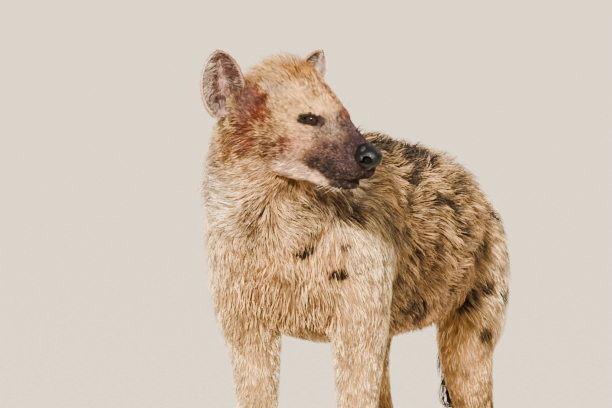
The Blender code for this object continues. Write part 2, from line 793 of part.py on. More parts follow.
def dome(centre, radii):
    """A thin-walled half ellipsoid, open below, that parts a leg from the trunk around it."""
    bm = bmesh.new()
    bmesh.ops.create_uvsphere(
        bm, u_segments=18, v_segments=10, radius=1.0,
        matrix=Matrix.Translation(centre) @ Matrix.Diagonal((*radii, 1.0)),
    )
    low = [v for v in bm.verts if v.co.z < centre[2] - 1e-6]
    bmesh.ops.delete(bm, geom=low, context="VERTS")
    made = object_of("dome", bm)
    wall = made.modifiers.new("wall", "SOLIDIFY")
    wall.thickness = GAP
    wall.offset = 0.0
    return applied(made)


def grown(obj):
    """A copy of obj that stands a gap proud of it all over."""
    made = bpy.data.objects.new("grown", obj.data.copy())
    bpy.context.scene.collection.objects.link(made)
    push = made.modifiers.new("push", "DISPLACE")
    push.strength = GAP
    push.mid_level = 0.0
    return applied(made)


def largest(obj):
    """Keeps the largest separate surface of obj."""
    parts = islands(obj)
    if len(parts) > 1:
        kept = set(max(parts, key=len))
        bm = bmesh.new()
        bm.from_mesh(obj.data)
        bmesh.ops.delete(bm, geom=[f for f in bm.faces if f.index not in kept], context="FACES")
        bm.to_mesh(obj.data)
        bm.free()
    return obj


def level_box(low, high, size=2.0):
    """A wide box between two heights."""
    bm = bmesh.new()
    where = Matrix.Translation((0, 0, (low + high) / 2)) @ Matrix.Diagonal((size, size, high - low, 1))
    bmesh.ops.create_cube(bm, size=1.0, matrix=where)
    return object_of("level", bm)


def body_nodes():
    """The trunk, neck, tail and legs, down to the wrists and hocks' feet."""
    bm = bmesh.new()
    add_body(bm)
    add_head(bm)
    body = fused(object_of("body", bm), BODY_VOXEL, 10, BODY_TRIANGLES)
    tree = surface_of(body)
    locks = trunk_locks(tree) + neck_locks(tree) + thigh_locks(tree) + tail_locks(tree)
    boolean(body, locks, "UNION")
    blades = [blade(*cut) for cut in CUTS.values()]
    for centre, radii in DOMES.values():
        blades += [dome(centre, radii), dome(mirrored(centre), radii)]
    below = level_box(-1.0, WRIST + GAP / 2)
    boolean(body, [*blades, below, beyond(*HEAD_CUT)], "DIFFERENCE")
    return parted(body, ANCHORS)


def paw_nodes():
    bm = bmesh.new()
    add_body(bm)
    paws = fused(object_of("paws", bm), PAW_VOXEL, 3, 60000)
    boolean(paws, [level_box(WRIST - GAP / 2, 2.0)], "DIFFERENCE")
    thinned(paws, PAW_TRIANGLES)
    boolean(paws, [level_box(-1.0, 0.0)], "DIFFERENCE")
    anchors = {"paw_" + name: at + Vector((0.0, 0.0, 0.10)) for name, (at, _) in PAWS.items()}
    return parted(paws, anchors)


def head_nodes(neck):
    bm = bmesh.new()
    add_head(bm)
    loft(bm, neck_core(), sides=32)
    head = fused(object_of("head", bm), HEAD_VOXEL, 14, HEAD_TRIANGLES)
    tree = surface_of(head)
    boolean(head, crown_locks(tree), "UNION")
    nodes = {}
    for name, sign in (("left", 1), ("right", -1)):
        nodes["ear_" + name] = largest(boolean(ear(sign), [grown(head), grown(neck)], "DIFFERENCE"))
    pad = nose()
    frames = {"left": eye_frame(1), "right": eye_frame(-1)}
    boolean(head, [lid_ring(frame) for frame in frames.values()], "UNION")
    cutters = [lip_groove(head), grown(pad), beyond(HEAD_CUT[0], -HEAD_CUT[1], 0.50, 1.0)]
    for frame in frames.values():
        cutters.append(ball("socket", (0, 0, 0), [EYE_RADIUS + GAP] * 3, frame))
        cutters.append(lid_opening(frame))
    nodes["head"] = largest(boolean(head, cutters, "DIFFERENCE"))
    nostrils = [ball("nostril", at, NOSTRIL_RADII, HEAD, 2) for at in (NOSTRIL_AT, mirrored(NOSTRIL_AT))]
    nodes["nose"] = largest(boolean(pad, nostrils, "DIFFERENCE"))
    for name, frame in frames.items():
        nodes["eye_" + name] = ball("eye_" + name, (0, 0, 0), [EYE_RADIUS] * 3, frame)
    return nodes


def claw_nodes(nodes):
    """Sets each claw in its toe, which is cut a gap wider."""
    made = {}
    for paw in PAWS:
        cutters = []
        for name, (root, size) in claw_places().items():
            if not name.startswith("claw_" + paw + "_"):
                continue
            bm = bmesh.new()
            claw(bm, root, size)
            made[name] = object_of(name, bm)
            bm = bmesh.new()
            claw(bm, root, size, GAP)
            cutters.append(object_of("socket", bm))
        boolean(nodes["paw_" + paw], cutters, "DIFFERENCE")
    return made


def foot_centre(nodes):
    """The middle of the finished model's box, at the floor."""
    corners = np.array([v.co for obj in nodes.values() for v in obj.data.vertices])
    low, high = corners.min(axis=0), corners.max(axis=0)
    return Vector(((low[0] + high[0]) / 2, (low[1] + high[1]) / 2, 0.0))


def finish(nodes):
    centre = foot_centre(nodes)
    looks = {"nose": NOSE_SKIN, "eye": EYE, "claw": CLAW, "ear": EAR_SKIN, "tail_brush": DARK, "paw": DARK}
    for name, obj in nodes.items():
        obj.name = name
        shader = next((look for start, look in looks.items() if name.startswith(start)), FUR)
        obj.data.materials.clear()
        obj.data.materials.append(shader)
        obj.data.transform(Matrix.Translation(-centre))
        obj.data.shade_smooth()
        obj.data.set_sharp_from_angle(angle=math.radians(50))


def main():
    clear_scene()
    nodes = body_nodes()
    nodes.update(paw_nodes())
    nodes.update(head_nodes(nodes["neck"]))
    nodes.update(claw_nodes(nodes))
    finish(nodes)


main()
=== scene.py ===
"""The looks of a life-size spotted hyena: one skin under a coat of tufts, ears, eyes, nose and claws.

Places are in the body's own frame, +X to the chest, +Y to the animal's left, +Z up. That frame differs
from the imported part's only by SHIFT, which is read from where the left eye is. What metres() takes and
the rows of the coat, its marks and spots are in millimetres, all else is in metres.
"""

import math

import bmesh
import bpy
import numpy as np
from mathutils import Matrix, Vector, kdtree
from mathutils.bvhtree import BVHTree


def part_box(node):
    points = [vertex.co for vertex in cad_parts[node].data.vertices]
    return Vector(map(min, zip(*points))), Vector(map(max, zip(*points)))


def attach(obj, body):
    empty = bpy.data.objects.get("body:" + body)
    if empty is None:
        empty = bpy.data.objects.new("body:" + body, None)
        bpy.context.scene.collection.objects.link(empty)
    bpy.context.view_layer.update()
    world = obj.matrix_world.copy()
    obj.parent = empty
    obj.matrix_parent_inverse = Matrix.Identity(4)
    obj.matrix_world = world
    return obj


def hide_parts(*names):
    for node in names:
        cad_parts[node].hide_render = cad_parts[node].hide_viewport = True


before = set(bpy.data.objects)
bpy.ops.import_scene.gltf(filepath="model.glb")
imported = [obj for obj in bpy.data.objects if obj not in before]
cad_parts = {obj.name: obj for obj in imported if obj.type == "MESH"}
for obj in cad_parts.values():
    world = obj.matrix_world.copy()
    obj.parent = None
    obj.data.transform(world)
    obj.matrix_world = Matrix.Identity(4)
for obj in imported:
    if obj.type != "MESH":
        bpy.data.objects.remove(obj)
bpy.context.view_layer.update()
CHANCE = np.random.default_rng(11)


def metres(rows):
    """The rows of millimetres in metres, nested as they are."""
    if isinstance(rows, (list, tuple)):
        return [metres(row) for row in rows]
    return rows / 1000


# The head's own frame starts between the eyes: x to the nose, y left, z up
HEAD = (
    Matrix.Translation((0.6185, 0.145, 0.846))
    @ Matrix.Rotation(math.radians(66), 4, "Z")
    @ Matrix.Rotation(math.radians(13), 4, "Y")
)
EYE_AT = Vector((0.003, 0.0445, 0.0))
EYE_LOOKS = Vector((0.60, 0.79, 0.10)).normalized()
EYE_RADIUS = 0.0135
EYE_CENTRE = HEAD @ (EYE_AT - EYE_LOOKS * EYE_RADIUS)
SHIFT = sum(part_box("eye_left"), Vector()) / 2 - EYE_CENTRE

# Depth of the coat over the skin
TRUNK_COAT = 0.022
LEG_COAT = 0.005
TAIL_SKIN = 0.55  # share of the tail's radius
HEAD_COAT = 0.004
MUZZLE_COAT = 0.001

# Trunk: x, underside, topline, half width, out to the tips of the coat
TORSO = metres([
    (458, 550, 640, 65),
    (430, 505, 716, 138),
    (365, 462, 778, 172),
    (275, 440, 810, 165),
    (150, 428, 806, 160),
    (10, 426, 792, 163),
    (-125, 434, 778, 160),
    (-245, 458, 762, 145),
    (-345, 500, 730, 134),
    (-425, 530, 672, 108),
    (-462, 562, 618, 48),
])
# Neck: centre, half width across, half depth from nape to throat
NECK = metres([
    ((240, 0, 650), 150, 150),
    ((340, -4, 678), 150, 148),
    ((430, -8, 712), 140, 138),
    ((495, -6, 754), 116, 120),
    ((540, 2, 792), 100, 106),
    ((568, 26, 818), 92, 94),
    ((586, 68, 832), 78, 82),
])
# Legs of the left side: centre, half width across, half depth fore and aft
FORELEG = metres([
    ((300, 80, 700), 45, 78),
    ((335, 94, 610), 56, 88),
    ((332, 100, 525), 53, 76),
    ((305, 94, 445), 44, 58),
    ((305, 89, 340), 36, 42),
    ((311, 87, 230), 30, 32),
    ((316, 86, 150), 31, 32),
    ((323, 86, 90), 29, 29),
    ((336, 86, 40), 32, 33),
])
HINDLEG = metres([
    ((-335, 70, 640), 50, 92),
    ((-320, 88, 560), 60, 112),
    ((-292, 98, 470), 57, 98),
    ((-278, 97, 395), 46, 68),
    ((-322, 95, 310), 36, 50),
    ((-383, 92, 235), 29, 37),
    ((-410, 90, 185), 26, 33),
    ((-406, 89, 120), 24, 25),
    ((-390, 88, 45), 29, 29),
])
TAIL = metres([
    ((-420, 0, 625), 34),
    ((-462, 0, 595), 32),
    ((-490, 0, 545), 28),
    ((-502, 0, 480), 26),
    ((-505, 0, 415), 30),
    ((-503, 0, 350), 31),
    ((-498, 0, 290), 22),
])
PAWS = [((0.345, 0.086, 0), 1), ((-0.378, 0.088, 0), 0.86)]  # of the left side: place, size
TOES = metres([(-30, 34), (-10.5, 48), (10.5, 48), (30, 34)])  # of a paw: across, forward
# Heel and instep of a paw: centre, radii
PAW_FORMS = metres([((-6, 0, 23), (36, 34, 32)), ((16, 0, 34), (34, 36, 24))])
KNUCKLE, TOE = metres([(26, 12.5, 20), (16, 11.5, 15.5)])  # radii

# Head frame. Skull, jaw and the ridge from crown to nose: x, underside, top, half width
SKULL = metres([
    (-172, -55, 12, 48),
    (-150, -82, 40, 66),
    (-115, -96, 58, 74),
    (-80, -98, 60, 71),
    (-45, -94, 47, 61),
    (-15, -89, 30, 49),
    (12, -87, 12, 42),
    (40, -88, -7, 37),
    (66, -87, -20, 33),
    (84, -80, -28, 27),
    (95, -72, -32, 19),
    (101, -64, -36, 11),
])
RIDGE = metres([
    (-135, 0, 60, 26),
    (-100, 0, 70, 34),
    (-70, 0, 71, 34),
    (-40, 0, 62, 29),
    (-12, -20, 48, 23),
    (12, -30, 34, 17),
    (36, -40, 17, 13.5),
    (55, -45, 4, 13),
    (75, -50, -7, 13.5),
    (90, -50, -13, 14),
    (100, -50, -17.5, 11.5),
])
JAW = metres([
    (-105, -118, -60, 48),
    (-55, -115, -60, 50),
    (-18, -110, -65, 45),
    (20, -108, -70, 37),
    (42, -107, -75, 30),
    (64, -104, -80, 24),
    (85, -98, -82, 13),
])
# Muscles and bones of the head: centre on the left side, radii
HEAD_FORMS = metres([
    ((-54, 38, -52), (60, 32, 51)),  # cheek muscle
    ((-32, 37, -24), (58, 22, 26)),  # cheek bone
    ((12, 28, -50), (60, 20, 36)),  # cheek before it
    ((-84, 26, 20), (50, 34, 36)),  # temple
    ((-124, 56, -14), (42, 32, 50)),  # root of the ear
    ((-110, 64, 6), (30, 23, 46)),  # skin that runs into the ear's front rim
    ((-8, 24, 1), (36, 21.5, 22)),  # socket of the eye
    ((46, 24, -66), (44, 16, 23)),  # upper lip
    ((78, 17, -60), (27, 16, 24)),  # pad of the whiskers
])
NOSE_FORMS = metres([
    ((95.5, 3, -32), (15, 15, 16)),  # the pad where it joins the bridge
    ((106, 1, -37), (21.5, 17.5, 17.5)),  # its front
    ((100, 13, -42), (17.5, 10.5, 13)),  # its wing
    ((98, 2, -52), (13, 7.5, 10)),  # the part between the lips
])
NOSTRIL_FORMS = metres([
    ((109, 15.2, -40.5), (16.5, 6.8, 7.4)),  # the hole
    ((108.5, 20.5, -45), (7, 6, 1.8)),  # the slit at its side
])
LIP_LINE = metres([
    (14, 51, -70),
    (32, 47, -79),
    (50, 41, -84.5),
    (68, 32, -87.5),
    (83, 21, -85),
    (92, 10, -80),
    (95, 0, -78),
])
MOUTH_MIDDLE = (0.03, 0, -0.08)  # the lips are pressed in towards it
LIP_WIDTH = 0.0032
LIP_DEPTH = 0.0050
# Strokes that shape the head: centre on the left side, radii, how far and where the skin moves
STROKES = metres([
    ((30, 34, -16), (22, 16, 12), (0, -3.5, -1)),  # hollow before the eye
    ((-4, 42, 18), (18, 12, 6), (2, 3, 1.5)),  # brow
    ((-4, 50, -17), (16, 10, 4), (0, -2.2, 0)),  # fold under the eye
    ((62, 36, -62), (30, 10, 12), (0, 3, 0)),  # fulness of the lip
    ((20, 52, -68), (10, 10, 7), (0, -3, 0)),  # corner of the mouth
    ((40, 0, 12), (20, 10, 10), (0, 0, -2)),  # stop
    ((98, 0, -68), (12, 3, 16), (-4, 0, 0)),  # furrow under the nose
])
LID_HALF_LENGTH = 0.0132
LID_HALF_HEIGHT = 0.0054
LID_THICKNESS = 0.0030
LIDS_ALONG = (1, 0, 0.06)  # from their outer corner to the inner one
LID_STEPS, LID_SIDES = 44, 8

EAR_HEIGHT = 0.116
EAR_OUTLINE = [  # share from root to tip, half width
    (0, 0.015), (0.1, 0.025), (0.28, 0.034), (0.5, 0.0365),
    (0.7, 0.032), (0.86, 0.023), (0.95, 0.014), (1, 0.004),
]
# The ears: side, root, direction of the tip, direction it opens to, all as for a right ear
EARS = {
    "right": (-1, (-0.140, -0.090, -0.034), (-0.10, -0.30, 0.95), (0.83, -0.55, -0.08)),
    "left": (1, (-0.146, -0.078, -0.032), (-0.04, -0.48, 0.88), (1.0, 0.12, -0.08)),
}

# How finely the shapes are joined, and the passes that smooth each after it
BODY_VOXEL, BODY_SMOOTHING = 0.0036, 10
HEAD_VOXEL, HEAD_SMOOTHING = 0.0017, 90
NOSE_VOXEL, NOSE_SMOOTHING = 0.0009, 24

TRUNK_SIDES, HEAD_SIDES = 48, 40
TRUNK_SQUARENESS = 2.3  # 2 is round
SKIN_KEPT = 0.5  # share of the skin's faces that thinning leaves
SOCKET = 1.01  # its radius against the eyeball's
LIDS_OVER = 0.02  # how far the opening between them reaches over the eyeball

FINE = 0.88  # width of the tufts against their rows
VIVID = 1.30  # how much stronger colours are kept than seen, as the view softens them


def colour(red, green, blue):
    """A colour of 0 to 255 a channel, as the linear light that shaders take, made stronger by VIVID."""
    share = np.array([red, green, blue]) / 255
    linear = np.where(share > 0.04045, ((share + 0.055) / 1.055) ** 2.4, share / 12.92)
    grey = linear.mean()
    return np.clip(grey + (linear - grey) * VIVID, 0.004, 0.92)


CREAM = colour(236, 218, 192)
STRAW = colour(214, 178, 130)
TAN = colour(196, 150, 104)
PINK = colour(208, 160, 132)
RUST = colour(80, 39, 29)
BROWN = colour(128, 94, 66)
UMBER = colour(88, 62, 46)
DARK = colour(52, 38, 34)
BLACK = colour(24, 19, 20)
SPOT = colour(31, 21, 18)
GREY = colour(138, 122, 108)
MUZZLE = colour(86, 65, 64)
PLUM = colour(50, 35, 38)
GOLD = colour(204, 154, 98)
AMBER = colour(146, 98, 42)
OCHRE = colour(98, 66, 36)
RUSSET = colour(106, 64, 48)
LILAC = colour(92, 65, 62)
PEACH = colour(226, 180, 134)
MAUVE = colour(78, 55, 50)
BUFF = colour(226, 190, 146)
SHELL = colour(238, 206, 178)
HONEY = colour(214, 168, 120)
SAND = colour(232, 211, 172)
WHEAT = colour(208, 168, 124)
DUN = colour(190, 152, 112)
LIP = colour(30, 20, 18)
INK = colour(13, 9, 9)

# The lie and look of the coat at named places. Each row has the place, the flow, the hair's length, its
# rise over the skin and its width, and the colours of its root and tip. It stands for both sides, unless
# ONE_SIDED names it with its side.
HEAD_COATS = {
    "nose bridge": ((85, 10, -10), (-1, 0.1, 0.2), 4, 1.1, 0.7, LIP, PLUM),
    "upper lip": ((80, 35, -60), (-1, 0.2, -0.2), 4, 1.1, 0.7, LIP, MUZZLE),
    "muzzle": ((45, 40, -40), (-1, 0.2, -0.1), 5, 1.4, 0.7, LIP, LILAC),
    "lip corner": ((20, 50, -68), (-1, 0.2, -0.4), 6, 1.6, 0.7, DARK, UMBER),
    "chin": ((70, 12, -102), (-1, 0.1, -0.2), 6, 1.6, 0.7, LIP, DARK),
    "jaw": ((20, 32, -104), (-1, 0.1, -0.1), 8, 2.4, 0.75, PINK, SHELL),
    "jaw's angle": ((-30, 48, -98), (-1, 0.2, -0.4), 15, 4.5, 0.85, PINK, SHELL),
    "under the jaw": ((-50, 0, -120), (-1, 0, -0.2), 18, 5.5, 1, UMBER, TAN),
    "before the eye": ((30, 35, -14), (-1, 0.3, 0.4), 5, 1.4, 0.7, UMBER, GREY),
    "under the eye": ((0, 54, -34), (-1, 0.1, -0.2), 6, 1.8, 0.7, BROWN, PINK),
    "behind the eye": ((-30, 56, -6), (-1, 0.3, 0), 8, 2.2, 0.7, TAN, STRAW),
    "brow": ((-6, 36, 24), (-0.8, 0.3, 0.8), 7, 1.8, 0.7, TAN, PEACH),
    "forehead": ((-26, 12, 45), (-1, 0.1, 0.6), 9, 2.4, 0.7, OCHRE, PEACH),
    "side of the forehead": ((-46, 40, 36), (-1, 0.3, 0.5), 9, 2.4, 0.75, TAN, PEACH),
    "front of the crown": ((-58, 10, 64), (-1, 0.2, 1), 15, 10, 0.75, OCHRE, AMBER),
    "crown": ((-85, 8, 68), (-1, 0.2, 0.5), 25, 24, 0.75, OCHRE, AMBER),
    "side of the crown": ((-85, 42, 50), (-1, 0.3, 0.4), 20, 11, 0.8, OCHRE, HONEY),
    "behind the crown": ((-125, 15, 56), (-1, 0.3, 0.2), 30, 24, 0.85, OCHRE, GOLD),
    "temple": ((-70, 62, 22), (-1, 0.3, 0.5), 10, 2.6, 0.75, BROWN, STRAW),
    "cheek": ((-45, 72, -24), (-1, 0.3, -0.1), 12, 3.4, 0.8, UMBER, HONEY),
    "low cheek": ((-60, 70, -70), (-1, 0.3, -0.6), 17, 5.5, 0.9, UMBER, HONEY),
    "before the ear": ((-98, 76, 6), (-0.6, 0.6, 0.5), 8, 2.4, 0.8, DARK, RUSSET),
    "ear's root": ((-118, 87, 6), (-0.7, 0.5, 0.6), 6, 1.6, 0.8, LIP, UMBER),
    "under the ear": ((-130, 88, -62), (-1, 0.4, -0.9), 26, 9, 1.1, UMBER, HONEY),
    "behind the ear": ((-165, 60, -20), (-1, 0.2, -0.5), 26, 10, 1.2, UMBER, STRAW),
}
BODY_COATS = {
    "nape": ((500, 20, 860), (-1, 0.1, -0.3), 58, 22, 1.5, BROWN, BUFF),
    "neck's ridge": ((400, 20, 830), (-1, 0.1, -0.15), 62, 24, 1.6, UMBER, STRAW),
    "left of the neck": ((450, 120, 760), (-1, 0.1, -0.6), 44, 15, 1.3, TAN, CREAM),
    "right of the neck": ((500, 110, 750), (0, 1, -0.25), 40, 15, 1.2, TAN, CREAM),
    "throat": ((560, 50, 700), (0.1, 1, -0.3), 34, 11, 1.15, TAN, CREAM),
    "throat's parting": ((565, 0, 680), (0.2, -0.5, -1), 30, 11, 1.2, UMBER, BUFF),
    "left of the throat": ((545, 50, 690), (-0.2, 1, -0.8), 32, 12, 1.2, BROWN, BUFF),
    "breast": ((470, 30, 600), (0, 0.3, -1), 30, 10, 1.3, TAN, BUFF),
    "between the legs": ((420, 30, 500), (-0.2, 0.1, -1), 30, 12, 1.6, BROWN, STRAW),
    "shoulder": ((370, 160, 640), (-0.35, 0.1, -1), 32, 10, 1.3, TAN, SAND),
    "shoulder blade": ((280, 150, 730), (-0.9, 0.1, -0.5), 44, 17, 1.7, UMBER, WHEAT),
    "withers": ((280, 30, 795), (-1, 0.1, -0.1), 60, 24, 1.8, UMBER, WHEAT),
    "back": ((60, 30, 785), (-1, 0.1, -0.1), 56, 21, 1.8, UMBER, BUFF),
    "side": ((100, 155, 660), (-1, 0, -0.35), 52, 21, 1.7, DARK, WHEAT),
    "lower side": ((120, 145, 530), (-0.9, 0, -0.6), 48, 19, 1.8, UMBER, DUN),
    "flank": ((-110, 150, 640), (-1, 0, -0.45), 50, 21, 1.8, DARK, WHEAT),
    "lower flank": ((-120, 135, 510), (-0.8, 0, -0.7), 44, 18, 1.8, UMBER, DUN),
    "belly": ((50, 40, 435), (-1, 0, -0.2), 28, 12, 1.8, UMBER, DUN),
    "loin": ((-200, 30, 765), (-1, 0.1, -0.15), 50, 20, 1.8, UMBER, BUFF),
    "croup": ((-370, 40, 705), (-1, 0.2, -0.7), 40, 14, 1.7, BROWN, BUFF),
    "hip": ((-290, 145, 640), (-0.7, 0.1, -0.9), 38, 13, 1.6, TAN, BUFF),
    "rump": ((-440, 70, 600), (-0.3, 0.1, -1), 28, 10, 1.6, BROWN, BUFF),
    "thigh": ((-310, 150, 500), (-0.25, 0, -1), 26, 9, 1.5, TAN, SAND),
    "inside of the thigh": ((-280, 40, 480), (-0.2, 0, -1), 20, 7, 1.5, BROWN, STRAW),
    "knee": ((-270, 120, 390), (-0.3, 0, -1), 17, 4.5, 1.2, TAN, BUFF),
    "shank": ((-350, 115, 270), (-0.4, 0, -1), 11, 3, 1.1, BROWN, STRAW),
    "hock": ((-408, 100, 170), (0, 0, -1), 9, 2.2, 1, BROWN, STRAW),
    "hind paw": ((-360, 90, 30), (0.8, 0, -0.6), 6, 1.4, 0.9, UMBER, TAN),
    "upper arm": ((340, 150, 500), (-0.1, 0, -1), 22, 7, 1.4, TAN, SAND),
    "elbow": ((290, 130, 410), (-0.2, 0, -1), 16, 4.2, 1.2, TAN, SAND),
    "forearm": ((310, 115, 280), (0, 0, -1), 10, 2.6, 1, TAN, SAND),
    "wrist": ((318, 110, 140), (0, 0, -1), 8, 2, 1, BROWN, STRAW),
    "fore paw": ((360, 100, 30), (0.8, 0, -0.6), 6, 1.4, 0.9, UMBER, TAN),
    "root of the tail": ((-490, 0, 560), (-0.3, 0, -1), 24, 9, 1.6, UMBER, TAN),
    "tail": ((-502, 0, 480), (0, 0, -1), 28, 10, 1.6, DARK, BROWN),
    "brush": ((-503, 0, 360), (0, 0, -1), 62, 15, 1.8, BLACK, DARK),
}
ONE_SIDED = {
    "left of the neck": 1, "right of the neck": -1, "throat": -1, "throat's parting": 1,
    "left of the throat": 1, "root of the tail": 1, "tail": 1, "brush": 1,
}

# Marks of the head, on both sides: one end, other end, radius, softness, colour, strength; one is a painted
# shadow under the ear
HEAD_MARKS_AND_SHADE = [
    ((125, 0, -50), (76, 0, -56), 36, 0.9, PLUM, 0.85),
    ((112, 0, -40), (104, 0, -60), 26, 1.2, LIP, 0.85),
    ((100, 0, -12), (38, 0, 12), 17, 0.9, PLUM, 0.95),
    ((92, 12, -78), (60, 36, -78), 20, 0.7, LIP, 1),
    ((62, 38, -78), (18, 54, -72), 17.5, 0.9, LIP, 1.15),
    ((78, 0, -94), (56, 0, -106), 17, 0.9, LIP, 0.9),
    ((44, 0, 14), (-34, 4, 58), 6, 1.2, RUST, 0.6),
    ((18, 42, 0), (-17, 51, 1), 11.2, 0.35, INK, 1.6),
    ((18, 42, 0), (40, 36, 0), 7, 0.9, LIP, 1.1),
    ((22, 38, 4), (18, 34, 26), 7.5, 1, DARK, 0.8),
    ((34, 38, -12), (24, 48, -30), 13, 1.2, UMBER, 0.6),
    ((-36, 72, -52), (-66, 70, -74), 22, 1.2, RUST, 0.95),
    ((-40, 72, -70), (-96, 70, -64), 20, 1.3, DARK, 0.55),
    ((-86, 74, -20), (-98, 78, 10), 24, 1.1, RUST, 0.95),
    ((-112, 86, 10), (-120, 88, -30), 16, 1, MAUVE, 0.75),
    ((-116, 80, -56), (-142, 80, -88), 26, 1.2, RUST, 0.95),
    # painted shadow under the ear
    ((-136, 84, -46), (-168, 80, -50), 14, 0.9, DARK, 0.95),
    ((-62, 52, 38), (-92, 60, 34), 10, 1.2, GREY, 0.7),
]
# Marks of the body, each on one side only: painted shade in the neck's fold, a painted shadow of the muzzle
# over neck and shoulder, and a dark band behind the shoulder
BODY_MARKS_AND_SHADE = [
    # painted shade in the fold where the neck turns, along the parting of its hair
    ((581, 34, 724), (547, -14, 668), 16, 1.3, UMBER, 0.5),
    ((547, -14, 668), (496, -14, 619), 17, 1.3, UMBER, 0.45),
    # painted shadow that the muzzle casts on the neck and shoulder, over fur that is darker there too
    ((500, 80, 700), (414, 114, 680), 28, 1.2, DARK, 0.85),
    ((414, 114, 680), (276, 142, 640), 30, 1.2, DARK, 0.85),
    ((300, 150, 640), (190, 150, 540), 26, 1.4, DARK, 0.55),
]
# Spots of the coat: centre on the left side, radii; those the photograph shows, then others like them
SPOTS = metres([
    ((-5, 78, 757), (82, 40, 26)),
    ((-90, 65, 742), (45, 36, 18)),
    ((125, 60, 775), (52, 36, 20)),
    ((133, 118, 714), (42, 30, 11)),
    ((-130, 118, 694), (34, 40, 15)),
    ((18, 133, 675), (40, 30, 11)),
    ((-330, 115, 640), (14, 30, 13)),
    ((-350, 112, 606), (18, 30, 16)),
    ((-375, 110, 558), (13, 30, 18)),
    ((-253, 125, 593), (20, 30, 15)),
    ((-215, 123, 491), (14, 30, 14)),
    ((-256, 143, 512), (16, 30, 13)),
    ((-250, 140, 428), (18, 30, 11)),
    ((465, 52, 615), (10, 18, 13)),
    ((422, 101, 575), (9, 14, 9)),
    ((474, 64, 652), (10, 16, 10)),
    ((436, 116, 620), (10, 16, 7)),
])
MORE_SPOTS = 38  # a side, scattered over shoulder, flank and hip
SPOT_TRIES = 600
SPOT_SPACING = 0.062
SPOT_RADII = (0.009, 0.017)


def scattered_spots():
    """Further spots over both sides, clear of each other."""
    chance = np.random.default_rng(23)
    made = []
    for sign in (1, -1):
        placed = [np.array(centre) * [1, sign, 1] for centre, _ in SPOTS] if sign > 0 else []
        for _ in range(SPOT_TRIES):
            x, z = chance.uniform(-0.42, 0.27), chance.uniform(0.46, 0.76)
            centre = np.array([x, sign * 0.13, z])
            if min((np.hypot(*(centre - other)[[0, 2]]) for other in placed), default=1) < SPOT_SPACING:
                continue
            placed.append(centre)
            size = chance.uniform(*SPOT_RADII)
            made.append((centre, np.array([size * chance.uniform(1.0, 1.6), 0.09, size])))
            if len(placed) > MORE_SPOTS:
                break
    return made


def on_side(point, sign):
    """The point as it is for sign 1, mirrored to the other side for sign -1."""
    return Vector((point[0], point[1] * sign, point[2]))


def catmull_rom(rows, steps):
    """The rows, each a list of numbers, with a smooth run of steps from each to the next."""
    rows = np.array(rows, float)
    padded = np.vstack([2 * rows[0] - rows[1], rows, 2 * rows[-1] - rows[-2]])
    made = []
    for a, b, c, d in zip(padded, padded[1:], padded[2:], padded[3:]):
        for t in np.arange(steps) / steps:
            made.append(
                0.5 * (2 * b + (c - a) * t + (2 * a - 5 * b + 4 * c - d) * t * t
                       + (3 * b - a - 3 * c + d) * t ** 3)
            )
    return np.array([*made, rows[-1]])


def rounded(value, power):
    return math.copysign(abs(value) ** (2 / power), value)


def join_rings(bm, rings):
    """Adds the faces between each ring of vertices and the next."""
    for low, high in zip(rings, rings[1:]):
        for k in range(len(low)):
            after = (k + 1) % len(low)
            bm.faces.new((low[k], low[after], high[after], high[k]))


def loft(bm, stations, place=None, sides=32, steps=5, side=None, power=2.0):
    """Adds a closed tube through (centre, half width, half depth) to bm; more power, squarer rings."""
    rows = catmull_rom([[*centre, wide, deep] for centre, wide, deep in stations], steps)
    rings = []
    for i, row in enumerate(rows):
        along = Vector(rows[min(i + 1, len(rows) - 1)][:3]) - Vector(rows[max(i - 1, 0)][:3])
        along.normalize()
        across = side.copy() if side else Vector((0, 0, 1)).cross(along)
        across = (across - across.dot(along) * along).normalized()
        other = along.cross(across)
        centre = Vector(row[:3])
        ring = []
        for k in range(sides):
            turn = 2 * math.pi * k / sides
            out = across * (row[3] * rounded(math.cos(turn), power))
            point = centre + out + other * (row[4] * rounded(math.sin(turn), power))
            ring.append(bm.verts.new(place @ point if place else point))
        rings.append(ring)
    join_rings(bm, rings)
    bm.faces.new(rings[0][::-1])
    bm.faces.new(rings[-1])


def ellipsoid(bm, centre, radii, place=None, detail=4):
    where = Matrix.Translation(centre) @ Matrix.Diagonal((*radii, 1.0))
    where = place @ where if place else where
    bmesh.ops.create_icosphere(bm, subdivisions=detail, radius=1.0, matrix=where)


def linked(name, mesh):
    made = bpy.data.objects.new(name, mesh)
    bpy.context.scene.collection.objects.link(made)
    return made


def object_of(name, bm):
    """A new object that holds bm, with its faces turned outwards."""
    bmesh.ops.recalc_face_normals(bm, faces=bm.faces)
    mesh = bpy.data.meshes.new(name)
    bm.to_mesh(mesh)
    bm.free()
    return linked(name, mesh)


def applied(obj):
    """Replaces the object's mesh by what its modifiers make of it."""
    graph = bpy.context.evaluated_depsgraph_get()
    graph.update()
    mesh = bpy.data.meshes.new_from_object(obj.evaluated_get(graph))
    obj.modifiers.clear()
    old, obj.data = obj.data, mesh
    bpy.data.meshes.remove(old)
    return obj


def vertices_of(mesh):
    points = np.empty(len(mesh.vertices) * 3)
    mesh.vertices.foreach_get("co", points)
    return points.reshape(-1, 3)


def faces_of(mesh, corners):
    """The faces as rows of vertices, where all have that many corners."""
    loops = np.empty(len(mesh.loops), np.int64)
    mesh.loops.foreach_get("vertex_index", loops)
    return loops.reshape(-1, corners)


def fill(mesh, places, faces):
    """Gives the mesh these vertices and faces and no others."""
    mesh.clear_geometry()
    mesh.vertices.add(len(places))
    mesh.vertices.foreach_set("co", places.reshape(-1))
    mesh.loops.add(faces.size)
    mesh.loops.foreach_set("vertex_index", faces.reshape(-1).astype(np.int32))
    mesh.polygons.add(len(faces))
    mesh.polygons.foreach_set("loop_start", np.arange(0, faces.size, faces.shape[1], dtype=np.int32))
    mesh.update(calc_edges=True)


